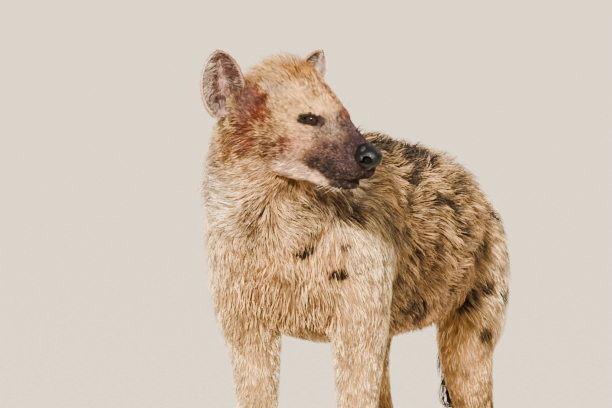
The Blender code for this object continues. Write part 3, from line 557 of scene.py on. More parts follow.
def in_order(obj, corners):
    """Sorts the vertices and faces of obj by place, as what made them leaves them in any order."""
    places = vertices_of(obj.data)
    order = np.lexsort(places.T)
    rank = np.empty(len(order), np.int64)
    rank[order] = np.arange(len(order))
    faces = rank[faces_of(obj.data, corners)]
    first = faces.argmin(axis=1)[:, None]
    faces = np.take_along_axis(faces, (first + np.arange(corners)) % corners, axis=1)
    fill(obj.data, places[order], faces[np.lexsort(faces.T[::-1])])
    return obj


def fused(obj, voxel, smoothing):
    """Joins the overlapping closed shapes of obj into one smooth skin."""
    remesh = obj.modifiers.new("join", "REMESH")
    remesh.mode = "VOXEL"
    remesh.voxel_size = voxel
    in_order(applied(obj), 4)
    smooth = obj.modifiers.new("smooth", "SMOOTH")
    smooth.factor = 0.5
    smooth.iterations = smoothing
    return applied(obj)


def boolean(obj, others, operation):
    """Cuts the other objects from obj, or joins them to it, and removes them."""
    group = bpy.data.collections.new("group")
    bpy.context.scene.collection.children.link(group)
    for other in others:
        group.objects.link(other)
    modifier = obj.modifiers.new(operation, "BOOLEAN")
    modifier.operation = operation
    modifier.solver = "MANIFOLD"
    modifier.operand_type = "COLLECTION"
    modifier.collection = group
    applied(obj)
    for other in others:
        bpy.data.objects.remove(other)
    bpy.data.collections.remove(group)
    return obj


def ball(centre, radii, place=None, detail=4):
    bm = bmesh.new()
    ellipsoid(bm, centre, radii, place, detail)
    return object_of("ball", bm)


# The skin


def stations(rows):
    """Centres and half sizes from rows of x, underside, top and half width."""
    return [((x, 0, (low + top) / 2), wide, (top - low) / 2) for x, low, top, wide in rows]


def under(coat, rows):
    """The stations under a coat of that depth."""
    return [(centre, wide - coat, deep - coat) for centre, wide, deep in rows]


def head_inset(x):
    """Depth of the head's coat, which thins towards the nose."""
    return float(np.interp(x, [-0.05, 0.07], [HEAD_COAT, MUZZLE_COAT]))


def add_both(bm, forms, place=None):
    """Adds each ellipsoid and its mirror image."""
    for centre, radii in forms:
        for sign in (1, -1):
            ellipsoid(bm, on_side(centre, sign), radii, place)


def add_paw(bm, at, size):
    """A heel, an instep and four toes, each with its knuckle."""
    forms = list(PAW_FORMS)
    for y, reach in TOES:
        forms.append(((reach - 0.016, y * 0.9, 0.022), KNUCKLE))
        forms.append(((reach, y, 0.0105), TOE))
    for centre, radii in forms:
        ellipsoid(bm, at + Vector(centre) * size, Vector(radii) * size)


def almond(length, height, share):
    """A point of the opening between the lids, share of the way round it."""
    turn = 2 * math.pi * share
    across = math.cos(turn)
    return length * across, height * math.sin(turn) * (1 - 0.55 * across * across)


def eye_frame(sign):
    """The frame at an eyeball's centre: z out of the eye, x along the lids towards the nose."""
    looks = on_side(EYE_LOOKS, sign)
    at = on_side(EYE_AT, sign) - looks * EYE_RADIUS
    along = Vector(LIDS_ALONG)
    along = (along - along.dot(looks) * looks).normalized()
    up = looks.cross(along)
    if up.z < 0:
        up = -up
    turn = Matrix((along, up, looks)).transposed().to_4x4()
    return HEAD @ Matrix.Translation(at) @ turn


def lid_ring(place):
    """A rim of even thickness that follows the opening over the eyeball."""
    bm = bmesh.new()
    rings = []
    reach = EYE_RADIUS + LID_THICKNESS * 0.45

    def over_eye(share):
        x, y = almond(LID_HALF_LENGTH, LID_HALF_HEIGHT + LID_THICKNESS * 0.6, share)
        return Vector((x, y, math.sqrt(max(0.0, reach ** 2 - x * x - y * y))))

    for i in range(LID_STEPS):
        here, there = over_eye(i / LID_STEPS), over_eye((i + 0.5) / LID_STEPS)
        along = (there - here).normalized()
        out = (here - here.dot(along) * along).normalized()
        flat = along.cross(out)
        ring = []
        for k in range(LID_SIDES):
            turn = 2 * math.pi * k / LID_SIDES
            point = here + (out * math.cos(turn) + flat * math.sin(turn)) * LID_THICKNESS
            ring.append(bm.verts.new(place @ point))
        rings.append(ring)
    join_rings(bm, rings + rings[:1])
    return object_of("lids", bm)


def lid_opening(place):
    """The prism that opens the head over the eyeball, between the lids."""
    bm = bmesh.new()
    ring = []
    for i in range(LID_STEPS):
        x, y = almond(LID_HALF_LENGTH, LID_HALF_HEIGHT, i / LID_STEPS)
        ring.append(bm.verts.new(place @ Vector((x, y, 0))))
    floor = bm.faces.new(ring)
    made = bmesh.ops.extrude_face_region(bm, geom=[floor])["geom"]
    out = (place.to_3x3() @ Vector((0, 0, 1))) * (EYE_RADIUS + LIDS_OVER)
    bmesh.ops.translate(bm, vec=out, verts=[v for v in made if isinstance(v, bmesh.types.BMVert)])
    return object_of("opening", bm)


def tree_of(obj):
    bm = bmesh.new()
    bm.from_mesh(obj.data)
    tree = BVHTree.FromBMesh(bm)
    bm.free()
    return tree


def gap_to_line(points, line):
    """The distance from each point to the nearest piece of the line."""
    best = np.full(len(points), 9.0)
    for a, b in zip(line, line[1:]):
        along = b - a
        share = np.clip(((points - a) @ along) / (along @ along), 0, 1)[:, None]
        best = np.minimum(best, np.linalg.norm(points - a - share * along, axis=1))
    return best


def sculpted(head):
    """Moves the head's skin by the strokes and presses in the line of the mouth."""
    mesh = head.data
    points = to_head(vertices_of(mesh))
    for centre, radii, push in STROKES:
        for sign in (1, -1) if centre[1] else (1,):
            turn = np.array([1, sign, 1])
            gap = (points - np.array(centre) * turn) / np.array(radii)
            weight = np.exp(-(gap * gap).sum(axis=1))
            points = points + weight[:, None] * np.array(push) * turn
    left = catmull_rom(LIP_LINE, 5)
    line = np.vstack([left, (left * [1, -1, 1])[-2::-1]])
    depth = LIP_DEPTH * np.exp(-(gap_to_line(points, line) / LIP_WIDTH) ** 2)
    inward = np.array(MOUTH_MIDDLE) - points
    inward[:, 2] = 0
    inward /= np.linalg.norm(inward, axis=1)[:, None]
    points = points + inward * depth[:, None]
    mesh.vertices.foreach_set("co", from_head(points).reshape(-1))
    mesh.update()


def thinned(obj, share):
    less = obj.modifiers.new("thin", "DECIMATE")
    less.ratio = share
    return applied(obj)


def make_head():
    bm = bmesh.new()
    side = Vector((0, 1, 0))
    for rows in (SKULL, RIDGE, JAW):
        thinner = [under(head_inset(row[0][0]), [row])[0] for row in stations(rows)]
        loft(bm, thinner, HEAD, side=side, sides=HEAD_SIDES)
    forms = []
    for centre, radii in HEAD_FORMS:
        forms.append((centre, [radius - head_inset(centre[0]) for radius in radii]))
    add_both(bm, forms, HEAD)
    head = fused(object_of("head", bm), HEAD_VOXEL, HEAD_SMOOTHING)
    sculpted(head)
    return head


def make_skin():
    """The one skin of the trunk, neck, head, legs, paws and tail, with its eye openings and mouth."""
    bm = bmesh.new()
    side = Vector((0, 1, 0))
    loft(bm, under(TRUNK_COAT, stations(TORSO)), side=side, sides=TRUNK_SIDES, power=TRUNK_SQUARENESS)
    loft(bm, under(TRUNK_COAT, NECK), sides=TRUNK_SIDES)
    loft(bm, [(centre, radius * TAIL_SKIN, radius * TAIL_SKIN) for centre, radius in TAIL], side=side)
    for leg in (FORELEG, HINDLEG):
        left = under(LEG_COAT, leg)
        loft(bm, left, side=side)
        loft(bm, [(on_side(centre, -1), wide, deep) for centre, wide, deep in left], side=side)
    for at, size in PAWS:
        for sign in (1, -1):
            add_paw(bm, on_side(at, sign), size)
    skin = thinned(fused(object_of("skin", bm), BODY_VOXEL, BODY_SMOOTHING), SKIN_KEPT)
    boolean(skin, [make_head()], "UNION")
    frames = [eye_frame(1), eye_frame(-1)]
    boolean(skin, [lid_ring(place) for place in frames], "UNION")
    cutters = []
    for place in frames:
        cutters.append(ball((0, 0, 0), [EYE_RADIUS * SOCKET] * 3, place))
        cutters.append(lid_opening(place))
    boolean(skin, cutters, "DIFFERENCE")
    bm = bmesh.new()
    bm.from_mesh(skin.data)
    for v in bm.verts:
        v.co.z = max(v.co.z, 0.0)
    bmesh.ops.triangulate(bm, faces=bm.faces)
    bm.to_mesh(skin.data)
    bm.free()
    skin.data.materials.clear()
    return in_order(skin, 3)


# Colours and lie of the coat


def noise(points, size, seed, waves=12):
    """A smooth random field from about -1 to 1, with features of about that size."""
    chance = np.random.default_rng(seed)
    ways = chance.normal(size=(waves, 3))
    ways *= (2 * math.pi / (size * 2.2)) / np.linalg.norm(ways, axis=1)[:, None]
    phases = chance.uniform(0, 2 * math.pi, waves)
    return np.sin(points @ ways.T + phases).sum(axis=1) * math.sqrt(2 / waves) * 0.7


HEAD_MATRIX = np.array(HEAD)
HEAD_BACK = np.array(HEAD.inverted())


def to_head(points):
    return points @ HEAD_BACK[:3, :3].T + HEAD_BACK[:3, 3]


def from_head(points):
    return points @ HEAD_MATRIX[:3, :3].T + HEAD_MATRIX[:3, 3]


def guides():
    """All rows of the coat on both sides: places, flows, sizes in metres, colours."""
    places, flows, sizes, roots, tips = [], [], [], [], []
    for table, in_head in ((HEAD_COATS, True), (BODY_COATS, False)):
        for name, (place, flow, length, rise, width, root, tip) in table.items():
            for sign in [ONE_SIDED[name]] if name in ONE_SIDED else [1, -1]:
                at = np.array(metres(place)) * [1, sign, 1]
                way = np.array(flow) * [1.0, sign, 1.0]
                if in_head:
                    at = from_head(at)
                    way = HEAD_MATRIX[:3, :3] @ way
                places.append(at)
                flows.append(way / np.linalg.norm(way))
                sizes.append([*metres((length, rise)), width / 1000 * FINE])
                roots.append(root)
                tips.append(tip)
    return [np.array(rows) for rows in (places, flows, sizes, roots, tips)]


GUIDES = guides()
BLEND_GAP = 0.012  # within which the guides blend evenly
BLEND_POWER = -2.5
BATCH = 20000  # points that are blended at once


def coat_at(points):
    """The flow, sizes and root and tip colours of the coat at the points, blended from the guides."""
    places, flows, sizes, roots, tips = GUIDES
    made = []
    for start in range(0, len(points), BATCH):
        some = points[start:start + BATCH]
        gap = ((some[:, None, :] - places[None]) ** 2).sum(axis=2) + BLEND_GAP ** 2
        weight = gap ** BLEND_POWER
        weight /= weight.sum(axis=1, keepdims=True)
        made.append(np.hstack([weight @ flows, weight @ sizes, weight @ roots, weight @ tips]))
    made = np.vstack(made)
    return made[:, 0:3], made[:, 3:6], made[:, 6:9], made[:, 9:12]


def marked(points, colours, marks, local, grain, both=True):
    """Lays the marks, painted shade and shadows among them, over the colours: each a capsule with a soft,
    ragged edge, as strong as the grain.
    """
    ragged = noise(points, 0.012, 5)[:, None] * 0.18
    for start, end, radius, soft, tone, strength in marks:
        for sign in (1, -1) if both and (start[1] or end[1]) else (1,):
            a, b = (np.array(metres(place)) * [1, sign, 1] for place in (start, end))
            along = b - a
            share = np.clip(((local - a) @ along) / max(along @ along, 1e-9), 0, 1)[:, None]
            gap = np.linalg.norm(local - a - share * along, axis=1)[:, None] / metres(radius) + ragged
            cover = np.clip((1 + soft / 2 - gap) / soft, 0, 1)
            cover = np.clip(cover * cover * (3 - 2 * cover) * strength * grain, 0, 1)
            colours = colours * (1 - cover) + tone * cover
    return colours


def painted(points, colours, grain=1.0):
    """The colours with the marks, painted shade and shadows among them, and the spots laid over them; grain
    lets each lock take more or less.
    """
    in_head = to_head(points)
    colours = marked(points, colours, HEAD_MARKS_AND_SHADE, in_head, grain)
    colours = marked(points, colours, BODY_MARKS_AND_SHADE, points, grain, both=False)
    ragged = noise(points, 0.022, 6) * 0.25
    away = np.clip(np.linalg.norm(in_head, axis=1) / 0.05 - 4, 0, 1)
    for centre, radii in [(np.array(c), np.array(r)) for c, r in SPOTS] + scattered_spots():
        gap = np.linalg.norm((points - centre) / radii, axis=1) + ragged
        cover = (np.clip((1.42 - gap) / 0.5, 0, 1) * away)[:, None]
        cover = np.clip(cover * (0.60 + 0.55 * grain), 0, 1)
        colours = colours * (1 - cover) + SPOT * cover
    return colours


# The coat


def unit(rows):
    return rows / np.maximum(np.linalg.norm(rows, axis=-1, keepdims=True), 1e-9)


def along_skin(flows, outs):
    """The part of each flow that lies on the skin, of length 1."""
    return unit(flows - (flows * outs).sum(axis=1, keepdims=True) * outs)


def skin_arrays(skin):
    normals = np.empty(len(skin.data.vertices) * 3)
    skin.data.vertex_normals.foreach_get("vector", normals)
    return vertices_of(skin.data), normals.reshape(-1, 3), faces_of(skin.data, 3)


def scattered(points, corners, density):
    """Faces and weights of random roots, spread as the density at the vertices says."""
    a, b, c = (points[corners[:, k]] for k in range(3))
    area = np.linalg.norm(np.cross(b - a, c - a), axis=1) / 2
    amount = np.cumsum(area * density[corners].mean(axis=1))
    total = int(amount[-1])
    picks = (np.arange(total) + CHANCE.random(total)) / total * amount[-1]
    faces = np.minimum(np.searchsorted(amount, picks), len(corners) - 1)
    u, v = CHANCE.random(total), CHANCE.random(total)
    flip = u + v > 1
    u[flip], v[flip] = 1 - u[flip], 1 - v[flip]
    return faces, np.stack([1 - u - v, u, v], axis=1)


def leaders(roots, spacing):
    """For each root the nearest of a sparse choice among them, which its lock gathers to."""
    chosen = CHANCE.choice(len(roots), max(1, int(len(roots) / spacing)), replace=False)
    tree = kdtree.KDTree(len(chosen))
    for i, index in enumerate(chosen):
        tree.insert(roots[index], i)
    tree.balance()
    return chosen[[tree.find(root)[1] for root in roots]]


HEIGHTS = np.array([-0.12, 0.55, 0.92, 1.0])  # of a tuft over the skin, from root to tip
WIDTHS = np.array([0.80, 1.00, 0.72, 0.0])
FLOOR_GAP = 0.001  # from the floor to the middle of a tuft


def along_tuft(values, rings):
    return np.interp(np.linspace(0, 1, rings + 1), np.linspace(0, 1, len(values)), values)


def laid(tree, roots, outs, flows, sizes, rings):
    """The middles of each tuft's rings and its tip: it rises from the skin and follows it."""
    heights = along_tuft(HEIGHTS, rings)
    feet, outs = roots.copy(), outs.copy()
    path = [feet + outs * (sizes[:, 1] * heights[0])[:, None]]
    for k in range(1, rings + 1):
        feet = feet + along_skin(flows, outs) * (sizes[:, 0] / rings)[:, None]
        for i, foot in enumerate(feet):
            feet[i], outs[i], _, _ = tree.find_nearest(foot)
        path.append(feet + outs * (sizes[:, 1] * heights[k])[:, None])
    path = np.stack(path, axis=1)
    path[..., 2] = np.maximum(path[..., 2], FLOOR_GAP)
    return path


def straight(roots, outs, flows, sizes, rings):
    """The same for tufts that stand free of what they grow on."""
    shares = np.linspace(0, 1, rings + 1)[None, :, None]
    heights = along_tuft(HEIGHTS, rings)[None, :, None]
    flows = unit(flows)
    along = flows[:, None] * shares * sizes[:, None, :1]
    return roots[:, None] + along + outs[:, None] * heights * sizes[:, None, 1:2]


def mesh_of_tufts(name, path, outs, widths, colours, uv, shader):
    """Three-sided tapered tufts, closed at the root, as one mesh with its colours and bake map."""
    count, rings = path.shape[0], path.shape[1] - 1
    wide = along_tuft(WIDTHS, rings)
    across = unit(np.cross(outs, unit(path[:, -1] - path[:, 0])))
    up = np.cross(unit(path[:, -1] - path[:, 0]), across)
    verts = np.empty((count, rings * 3 + 1, 3))
    for k in range(rings):
        half = (widths * wide[k] / 2)[:, None]
        verts[:, 3 * k] = path[:, k] + across * half
        verts[:, 3 * k + 1] = path[:, k] - across * half
        verts[:, 3 * k + 2] = path[:, k] + up * half * 0.8
    verts[:, -1] = path[:, -1]
    faces = [(0, 1, 2)]
    for k in range(rings - 1):
        for j in range(3):
            a, b = 3 * k + j, 3 * k + (j + 1) % 3
            faces += [(a, a + 3, b), (b, a + 3, b + 3)]
    last = 3 * (rings - 1)
    for j in range(3):
        faces.append((last + j, rings * 3, last + (j + 1) % 3))
    corners = np.array(faces)[None] + (np.arange(count) * (rings * 3 + 1))[:, None, None]
    mesh = bpy.data.meshes.new(name)
    fill(mesh, verts.reshape(-1, 3), corners.reshape(-1, 3))
    steps = np.repeat(np.arange(rings + 1), [3] * rings + [1])
    paint(mesh, colours[:, steps].reshape(-1, 3))
    layer = mesh.uv_layers.new(name="OFBake")
    sides = np.tile(np.arange(3), rings + 1)[:len(steps)]
    patch = np.stack([steps / rings, sides / 2], axis=1) * PATCH
    flat = uv[:, None, :] + patch[None]
    layer.data.foreach_set("uv", flat.reshape(-1, 2)[corners.reshape(-1)].reshape(-1))
    dress(mesh, shader)
    return linked(name, mesh)


def paint(mesh, colours):
    """Keeps a colour at every vertex, which the materials read as Coat."""
    tone = mesh.attributes.new("Coat", "FLOAT_COLOR", "POINT")
    opaque = np.ones((len(colours), 1))
    tone.data.foreach_set("color", np.hstack([np.clip(colours, 0, 1), opaque]).reshape(-1))


def dress(mesh, shader):
    mesh.shade_smooth()
    mesh.materials.append(shader)


def finish_piece(obj, slot, *nodes):
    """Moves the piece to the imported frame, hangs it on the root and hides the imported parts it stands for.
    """
    obj.data.transform(Matrix.Translation(SHIFT))
    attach(obj, "root")
    if nodes:
        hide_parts(*nodes)
    return obj


PATCH = 0.003  # side of a tuft's place on the bake map
# Unwraps of the skin, each round an axis: a point of the axis, its direction, the half length it covers
HEAD_MIDDLE = (-0.03, 0, -0.025)  # in its own frame
UP = Vector((0, 0, 1))
WRAPS = {
    "head": (HEAD @ Vector(HEAD_MIDDLE), HEAD.to_3x3() @ Vector((1, 0, 0)), 0.20),
    "neck": (Vector((0.46, 0, 0.71)), Vector((0.8, 0, 0.6)), 0.30),
    "trunk": (Vector((-0.02, 0, 0.62)), Vector((1, 0, 0)), 0.52),
    "foreleg_left": (Vector((0.325, 0.088, 0.23)), UP, 0.26),
    "foreleg_right": (Vector((0.325, -0.088, 0.23)), UP, 0.26),
    "hindleg_left": (Vector((-0.34, 0.092, 0.23)), UP, 0.26),
    "hindleg_right": (Vector((-0.34, -0.092, 0.23)), UP, 0.26),
    "tail": (Vector((-0.505, 0, 0.44)), UP, 0.26),
}
HEAD_REACH = 0.165
NECK_FROM = 0.37
LEG_TOP, LEG_REACH = 0.47, 0.13
TAIL_FROM, TAIL_TOP = -0.455, 0.60


def regions(points):
    """The name of the unwrap that each point belongs to."""
    local = to_head(points)
    made = np.full(len(points), "trunk", dtype="<U16")
    made[points[:, 0] > NECK_FROM] = "neck"
    for name, (centre, _, _) in WRAPS.items():
        if "leg" in name:
            leg = (points[:, 2] < LEG_TOP) & (points[:, 1] * centre.y > 0) & (points[:, 0] * centre.x > 0)
            made[leg & (np.abs(points[:, 0] - centre.x) < LEG_REACH)] = name
    made[(points[:, 0] < TAIL_FROM) & (points[:, 2] < TAIL_TOP)] = "tail"
    made[np.linalg.norm(local - HEAD_MIDDLE, axis=1) < HEAD_REACH] = "head"
    return made


def unwrapped(points, name):
    """Where the points lie on the named unwrap, within 0 to 1."""
    centre, axis, reach = WRAPS[name]
    axis = np.array(axis)
    side = unit(np.cross([0.0, 1.0, 0.1], axis))
    other = np.cross(axis, side)
    local = points - np.array(centre)
    turn = np.arctan2(local @ other, local @ side) / (2 * math.pi) + 0.5
    high = np.clip((local @ axis) / reach / 2 + 0.5, 0, 1)
    return np.stack([turn, high], axis=1) * (1 - 2 * PATCH) + PATCH / 2


# Materials


def material(name, tone, roughness, specular=0.5, coat=0.0, bump=None):
    """A Principled material; tone None takes the colour kept at the vertices. bump: scale, depth, kind."""
    made = bpy.data.materials.new(name)
    made.use_nodes = True
    nodes, links = made.node_tree.nodes, made.node_tree.links

    def with_inputs(node, values):
        for key, value in values.items():
            node.inputs[key].default_value = value
        return node

    def new(kind, **values):
        return with_inputs(nodes.new("ShaderNode" + kind), values)

    shader = with_inputs(nodes["Principled BSDF"], {
        "Roughness": roughness, "Specular IOR Level": specular, "Coat Weight": coat, "Coat Roughness": 0.03,
    })
    place = new("TexCoord").outputs["Object"]
    if tone is None:
        kept = new("Attribute")
        kept.attribute_name = "Coat"
        links.new(kept.outputs["Color"], shader.inputs["Base Color"])
    else:
        mottle = new("TexNoise", Scale=60, Detail=5)
        ramp = new("ValToRGB")
        for step, share in zip(ramp.color_ramp.elements, (0.65, 1.35)):
            step.color = (*np.minimum(np.array(tone) * share, 1), 1)
        links.new(place, mottle.inputs["Vector"])
        links.new(mottle.outputs["Fac"], ramp.inputs["Fac"])
        links.new(ramp.outputs["Color"], shader.inputs["Base Color"])
    if bump:
        scale, depth, kind = bump
        grain = new(kind, Scale=scale)
        raised = new("Bump", Distance=depth, Strength=1)
        links.new(place, grain.inputs["Vector"])
        links.new(grain.outputs[0], raised.inputs["Height"])
        links.new(raised.outputs["Normal"], shader.inputs["Normal"])
    return made


FUR = material("coat", None, 0.60, 0.14)
SKIN = material("skin", None, 0.60, 0.06, bump=(700, 0.0012, "TexNoise"))
EAR_SKIN = material("ear", None, 0.62, 0.30, bump=(500, 0.0005, "TexNoise"))
EYE = material("eye", None, 0.05, 0.05, 0.07)
NOSE = material("nose", (0.0022, 0.0018, 0.0020), 0.33, 0.13, 0.02, (800, 0.0004, "TexVoronoi"))
CLAW = material("claw", (0.045, 0.036, 0.030), 0.38, 0.5, 0.2, (300, 0.0003, "TexNoise"))


# Ears

EAR_WALL = 0.0026
EAR_COLUMNS = 48
EAR_ROWS = 56
EAR_DARK = colour(70, 48, 46)
EAR_MAUVE = colour(128, 100, 92)
EAR_PINK = colour(124, 82, 70)
EAR_RIM = colour(136, 98, 86)
EAR_BACK = colour(120, 92, 70)
EAR_HAIR = colour(62, 43, 38)
EAR_PALE = colour(222, 198, 176)
EAR_TUFTS = {"inner": 4600, "back": 3600, "rim": 1300}
# Swellings of the ear's inside: depth, place over the ear and its drift up it, half width, share, half length
EAR_FOLDS = [(0.0050, 0.42, -0.50, 0.13, 0.26, 0.17), (0.0042, -0.50, 0.35, 0.11, 0.30, 0.22)]
EAR_HOLLOW = (0.0060, 0.02, 0, 0.24, 0.17, 0.10)


def ear_row(sign):
    """The ear's root, the way to its tip and the way it opens, as for a right ear."""
    root, tip, opens = (Vector(row) for row in EARS["right" if sign < 0 else "left"][1:])
    return root, tip.normalized(), opens


def swelling(around, share, row):
    depth, middle, drift, width, height, length = row
    across = np.exp(-((around - middle - drift * share) / width) ** 2)
    return depth * across * np.exp(-((share - height) / length) ** 2)


def ear_surface(sign, around, share):
    """Points of the middle of the ear's wall: around runs from -1 to 1 over it, share from root to tip."""
    root, tip, opens = ear_row(sign)
    front = (opens - opens.dot(tip) * tip).normalized()
    across = np.array(tip.cross(front))
    tip, front = np.array(tip), np.array(front)
    outline = catmull_rom(EAR_OUTLINE, 6)
    half = np.interp(share, outline[:, 0], outline[:, 1])
    bend = np.radians(118 - 78 * np.minimum(1.0, share * 1.4))
    radius = half / np.maximum(np.sin(np.minimum(bend, math.pi / 2)), 0.2)
    turn = bend * around
    deep = radius * (np.cos(turn) - np.cos(bend)) + 0.006 * share
    fold = swelling(around, share, EAR_FOLDS[0]) + swelling(around, share, EAR_FOLDS[1])
    hollow = swelling(around, share, EAR_HOLLOW)
    ripple = 0.0008 * np.sin(share * 31 + around * 5) * (1 - around * around)
    deep = deep - fold + hollow - ripple
    points = (
        np.array(root) + tip * (EAR_HEIGHT * share)[..., None]
        + across * (radius * np.sin(turn))[..., None] - front * deep[..., None]
    )
    points[..., 1] *= -sign
    return from_head(points)


def ear_frame(sign, around, share):
    """Points, the ways over the ear and towards its tip, and the way out of its hollow."""
    step = 0.004
    points = ear_surface(sign, around, share)
    over = unit(ear_surface(sign, around + step, share) - ear_surface(sign, around - step, share))
    upward = unit(ear_surface(sign, around, share + step) - ear_surface(sign, around, share - step))
    out = unit(np.cross(over, upward))
    facing = HEAD_MATRIX[:3, :3] @ np.array(on_side(ear_row(sign)[2], -sign))
    out = out * np.where((out @ facing)[..., None].mean() < 0, -1, 1)
    return points, over, upward, out


def ear_tone(around, share):
    """Colours of the ear's inner side, with painted shade deep in its hollow."""
    rim = np.clip((np.abs(around) - 0.80) / 0.18, 0, 1)[:, None]
    deep = np.exp(-((around - 0.02) / 0.30) ** 2 - ((share - 0.17) / 0.12) ** 2)[:, None]
    fold = np.exp(-((around - 0.42 + 0.50 * share) / 0.12) ** 2 - ((share - 0.24) / 0.16) ** 2)[:, None]
    low = np.clip(1 - share / 0.35, 0, 1)[:, None]
    tone = EAR_MAUVE * (1 - low * 0.4) + EAR_DARK * low * 0.4
    tone = tone * (1 - fold * 0.8) + EAR_PINK * fold * 0.8
    # painted shade deep in the hollow near the ear's root
    tone = tone * (1 - deep * 0.9) + EAR_DARK * 0.4 * deep * 0.9
    return tone * (1 - rim * 0.8) + EAR_RIM * rim * 0.8


def ear(side):
    """A cup with a real wall, folds at its root and a pinkish rim."""
    sign = EARS[side][0]
    around, share = np.meshgrid(np.linspace(-1, 1, EAR_COLUMNS), np.linspace(0, 1, EAR_ROWS))
    around, share = around.reshape(-1), share.reshape(-1)
    points, _, _, out = ear_frame(sign, around, share)
    wall = EAR_WALL * (0.6 + 0.5 * np.clip((np.abs(around) - 0.8) / 0.2, 0, 1)) / 2
    verts = np.vstack([points + out * wall[:, None], points - out * wall[:, None]])
    back = np.tile(EAR_BACK, (len(points), 1)) * (1 - 0.5 * np.clip(share - 0.5, 0, 1))[:, None]
    tones = np.vstack([ear_tone(around, share), back])
    tones *= 1 + 0.15 * noise(verts, 0.006, 21)[:, None]
    count, faces = len(points), []
    for i in range(EAR_ROWS - 1):
        for j in range(EAR_COLUMNS - 1):
            a = i * EAR_COLUMNS + j
            b, c, d = a + 1, a + EAR_COLUMNS + 1, a + EAR_COLUMNS
            faces += [(a, b, c, d), (a + count, d + count, c + count, b + count)]
    edge = list(range(EAR_COLUMNS))
    edge += [i * EAR_COLUMNS + EAR_COLUMNS - 1 for i in range(1, EAR_ROWS)]
    edge += [(EAR_ROWS - 1) * EAR_COLUMNS + j for j in range(EAR_COLUMNS - 2, -1, -1)]
    edge += [i * EAR_COLUMNS for i in range(EAR_ROWS - 2, 0, -1)]
    for a, b in zip(edge, edge[1:] + edge[:1]):
        faces.append((a, a + count, b + count, b))
    mesh = bpy.data.meshes.new("ear")
    mesh.from_pydata([tuple(v) for v in verts], [], faces)
    paint(mesh, tones)
    bm = bmesh.new()
    bm.from_mesh(mesh)
    bmesh.ops.recalc_face_normals(bm, faces=bm.faces)
    bm.to_mesh(mesh)
    bm.free()
    dress(mesh, EAR_SKIN)
    return linked("ear_skin_" + side, mesh)


def ear_tufts(side):
    """Hair of the ear: pale hairs that grow in from its rims, short fur on its back and a fringe."""
    sign = EARS[side][0]
    paths, ways, wides, tones, places = [], [], [], [], []
    for kind, count in EAR_TUFTS.items():
        around = CHANCE.uniform(-0.99, 0.99, count)
        share = CHANCE.uniform(0.03, 0.985, count)
        if kind == "inner":
            keep = CHANCE.random(count) < 0.25 + 0.75 * np.abs(around) ** 0.8
            around, share = around[keep], share[keep]
        if kind == "rim":
            around = np.sign(around) * CHANCE.uniform(0.95, 1.0, count)
            share = CHANCE.uniform(0.10, 1.0, count)
        points, over, upward, out = ear_frame(sign, around, share)
        chance = CHANCE.normal(0, 0.25, (len(around), 3))
        lean = np.clip(np.abs(around) * 1.3, 0, 1)[:, None]
        outer = np.clip(-around * 1.2, 0, 1)
        if kind == "inner":
            flow = unit(upward * (1.1 - 0.75 * lean) - over * np.sign(around)[:, None] * lean + chance * 0.7)
            length = 0.007 + 0.013 * lean[:, 0] * CHANCE.uniform(0.5, 1.2, len(around))
            rise = 0.0012 + 0.0030 * lean[:, 0]
            pale = (-0.16 if sign < 0 else 0.30) + 0.25 * noise(points, 0.016, 31)
            pale = pale + 0.50 * outer - 0.7 * np.clip(share - 0.6, 0, 1)
            pale = np.clip(pale + CHANCE.normal(0, 0.32, len(around)), 0, 1)[:, None]
            tone = EAR_HAIR * (1 - pale) + EAR_PALE * pale
            wide = 0.00065
        elif kind == "back":
            out = -out
            flow = unit(upward + chance * 0.5)
            length = 0.008 * CHANCE.uniform(0.7, 1.2, len(around))
            rise = np.full(len(around), 0.0016)
            tone = EAR_BACK * CHANCE.uniform(0.6, 1.5, (len(around), 1))
            wide = 0.00075
        else:
            flow = unit(over * np.sign(around)[:, None] * 0.8 + upward * 0.9 + chance * 0.8)
            length = 0.0045 * CHANCE.uniform(0.5, 1.4, len(around))
            rise = np.full(len(around), 0.0008)
            tone = BROWN * (1 - outer[:, None]) + CREAM * outer[:, None]
            tone = tone * CHANCE.uniform(0.5, 1.2, (len(around), 1))
            wide = 0.00055
        sizes = np.stack([length, rise, np.full(len(around), wide)], axis=1)
        foot = points + out * EAR_WALL * 0.35
        paths.append(straight(foot, out, flow, sizes, 2))
        shade = CHANCE.uniform(0.75, 1.2, (len(around), 1))
        ways.append(out)
        wides.append(sizes[:, 2])
        tones.append(np.stack([tone * shade * 0.55, tone * shade * 0.85, tone * shade], axis=1))
        places.append(np.stack([0.25 + 0.22 * around + 0.5 * (kind == "back"), 0.04 + 0.92 * share], axis=1))
    joined = [np.concatenate(rows) for rows in (paths, ways, wides, tones, places)]
    return mesh_of_tufts("coat_ear_" + side, *joined, FUR)


# Eyes, nose and whiskers

PUPIL = 0.24  # the angles from the eye's axis at which its parts end
IRIS = 0.74
WHITE = 0.84
IRIS_TONE = colour(34, 20, 12)
IRIS_RIM = colour(12, 8, 7)
FURROW_WIDTH, FURROW_DEPTH = 0.0011, 0.0016  # of the nose
EYE_DARK = colour(30, 18, 15)
EYE_RINGS, EYE_SIDES = 48, 72
EYE_ROOM = 0.0002  # between the eyeball and its socket
CORNEA_RISE, CORNEA_EDGE = 0.0014, 0.80  # its height, and the angle at which it ends


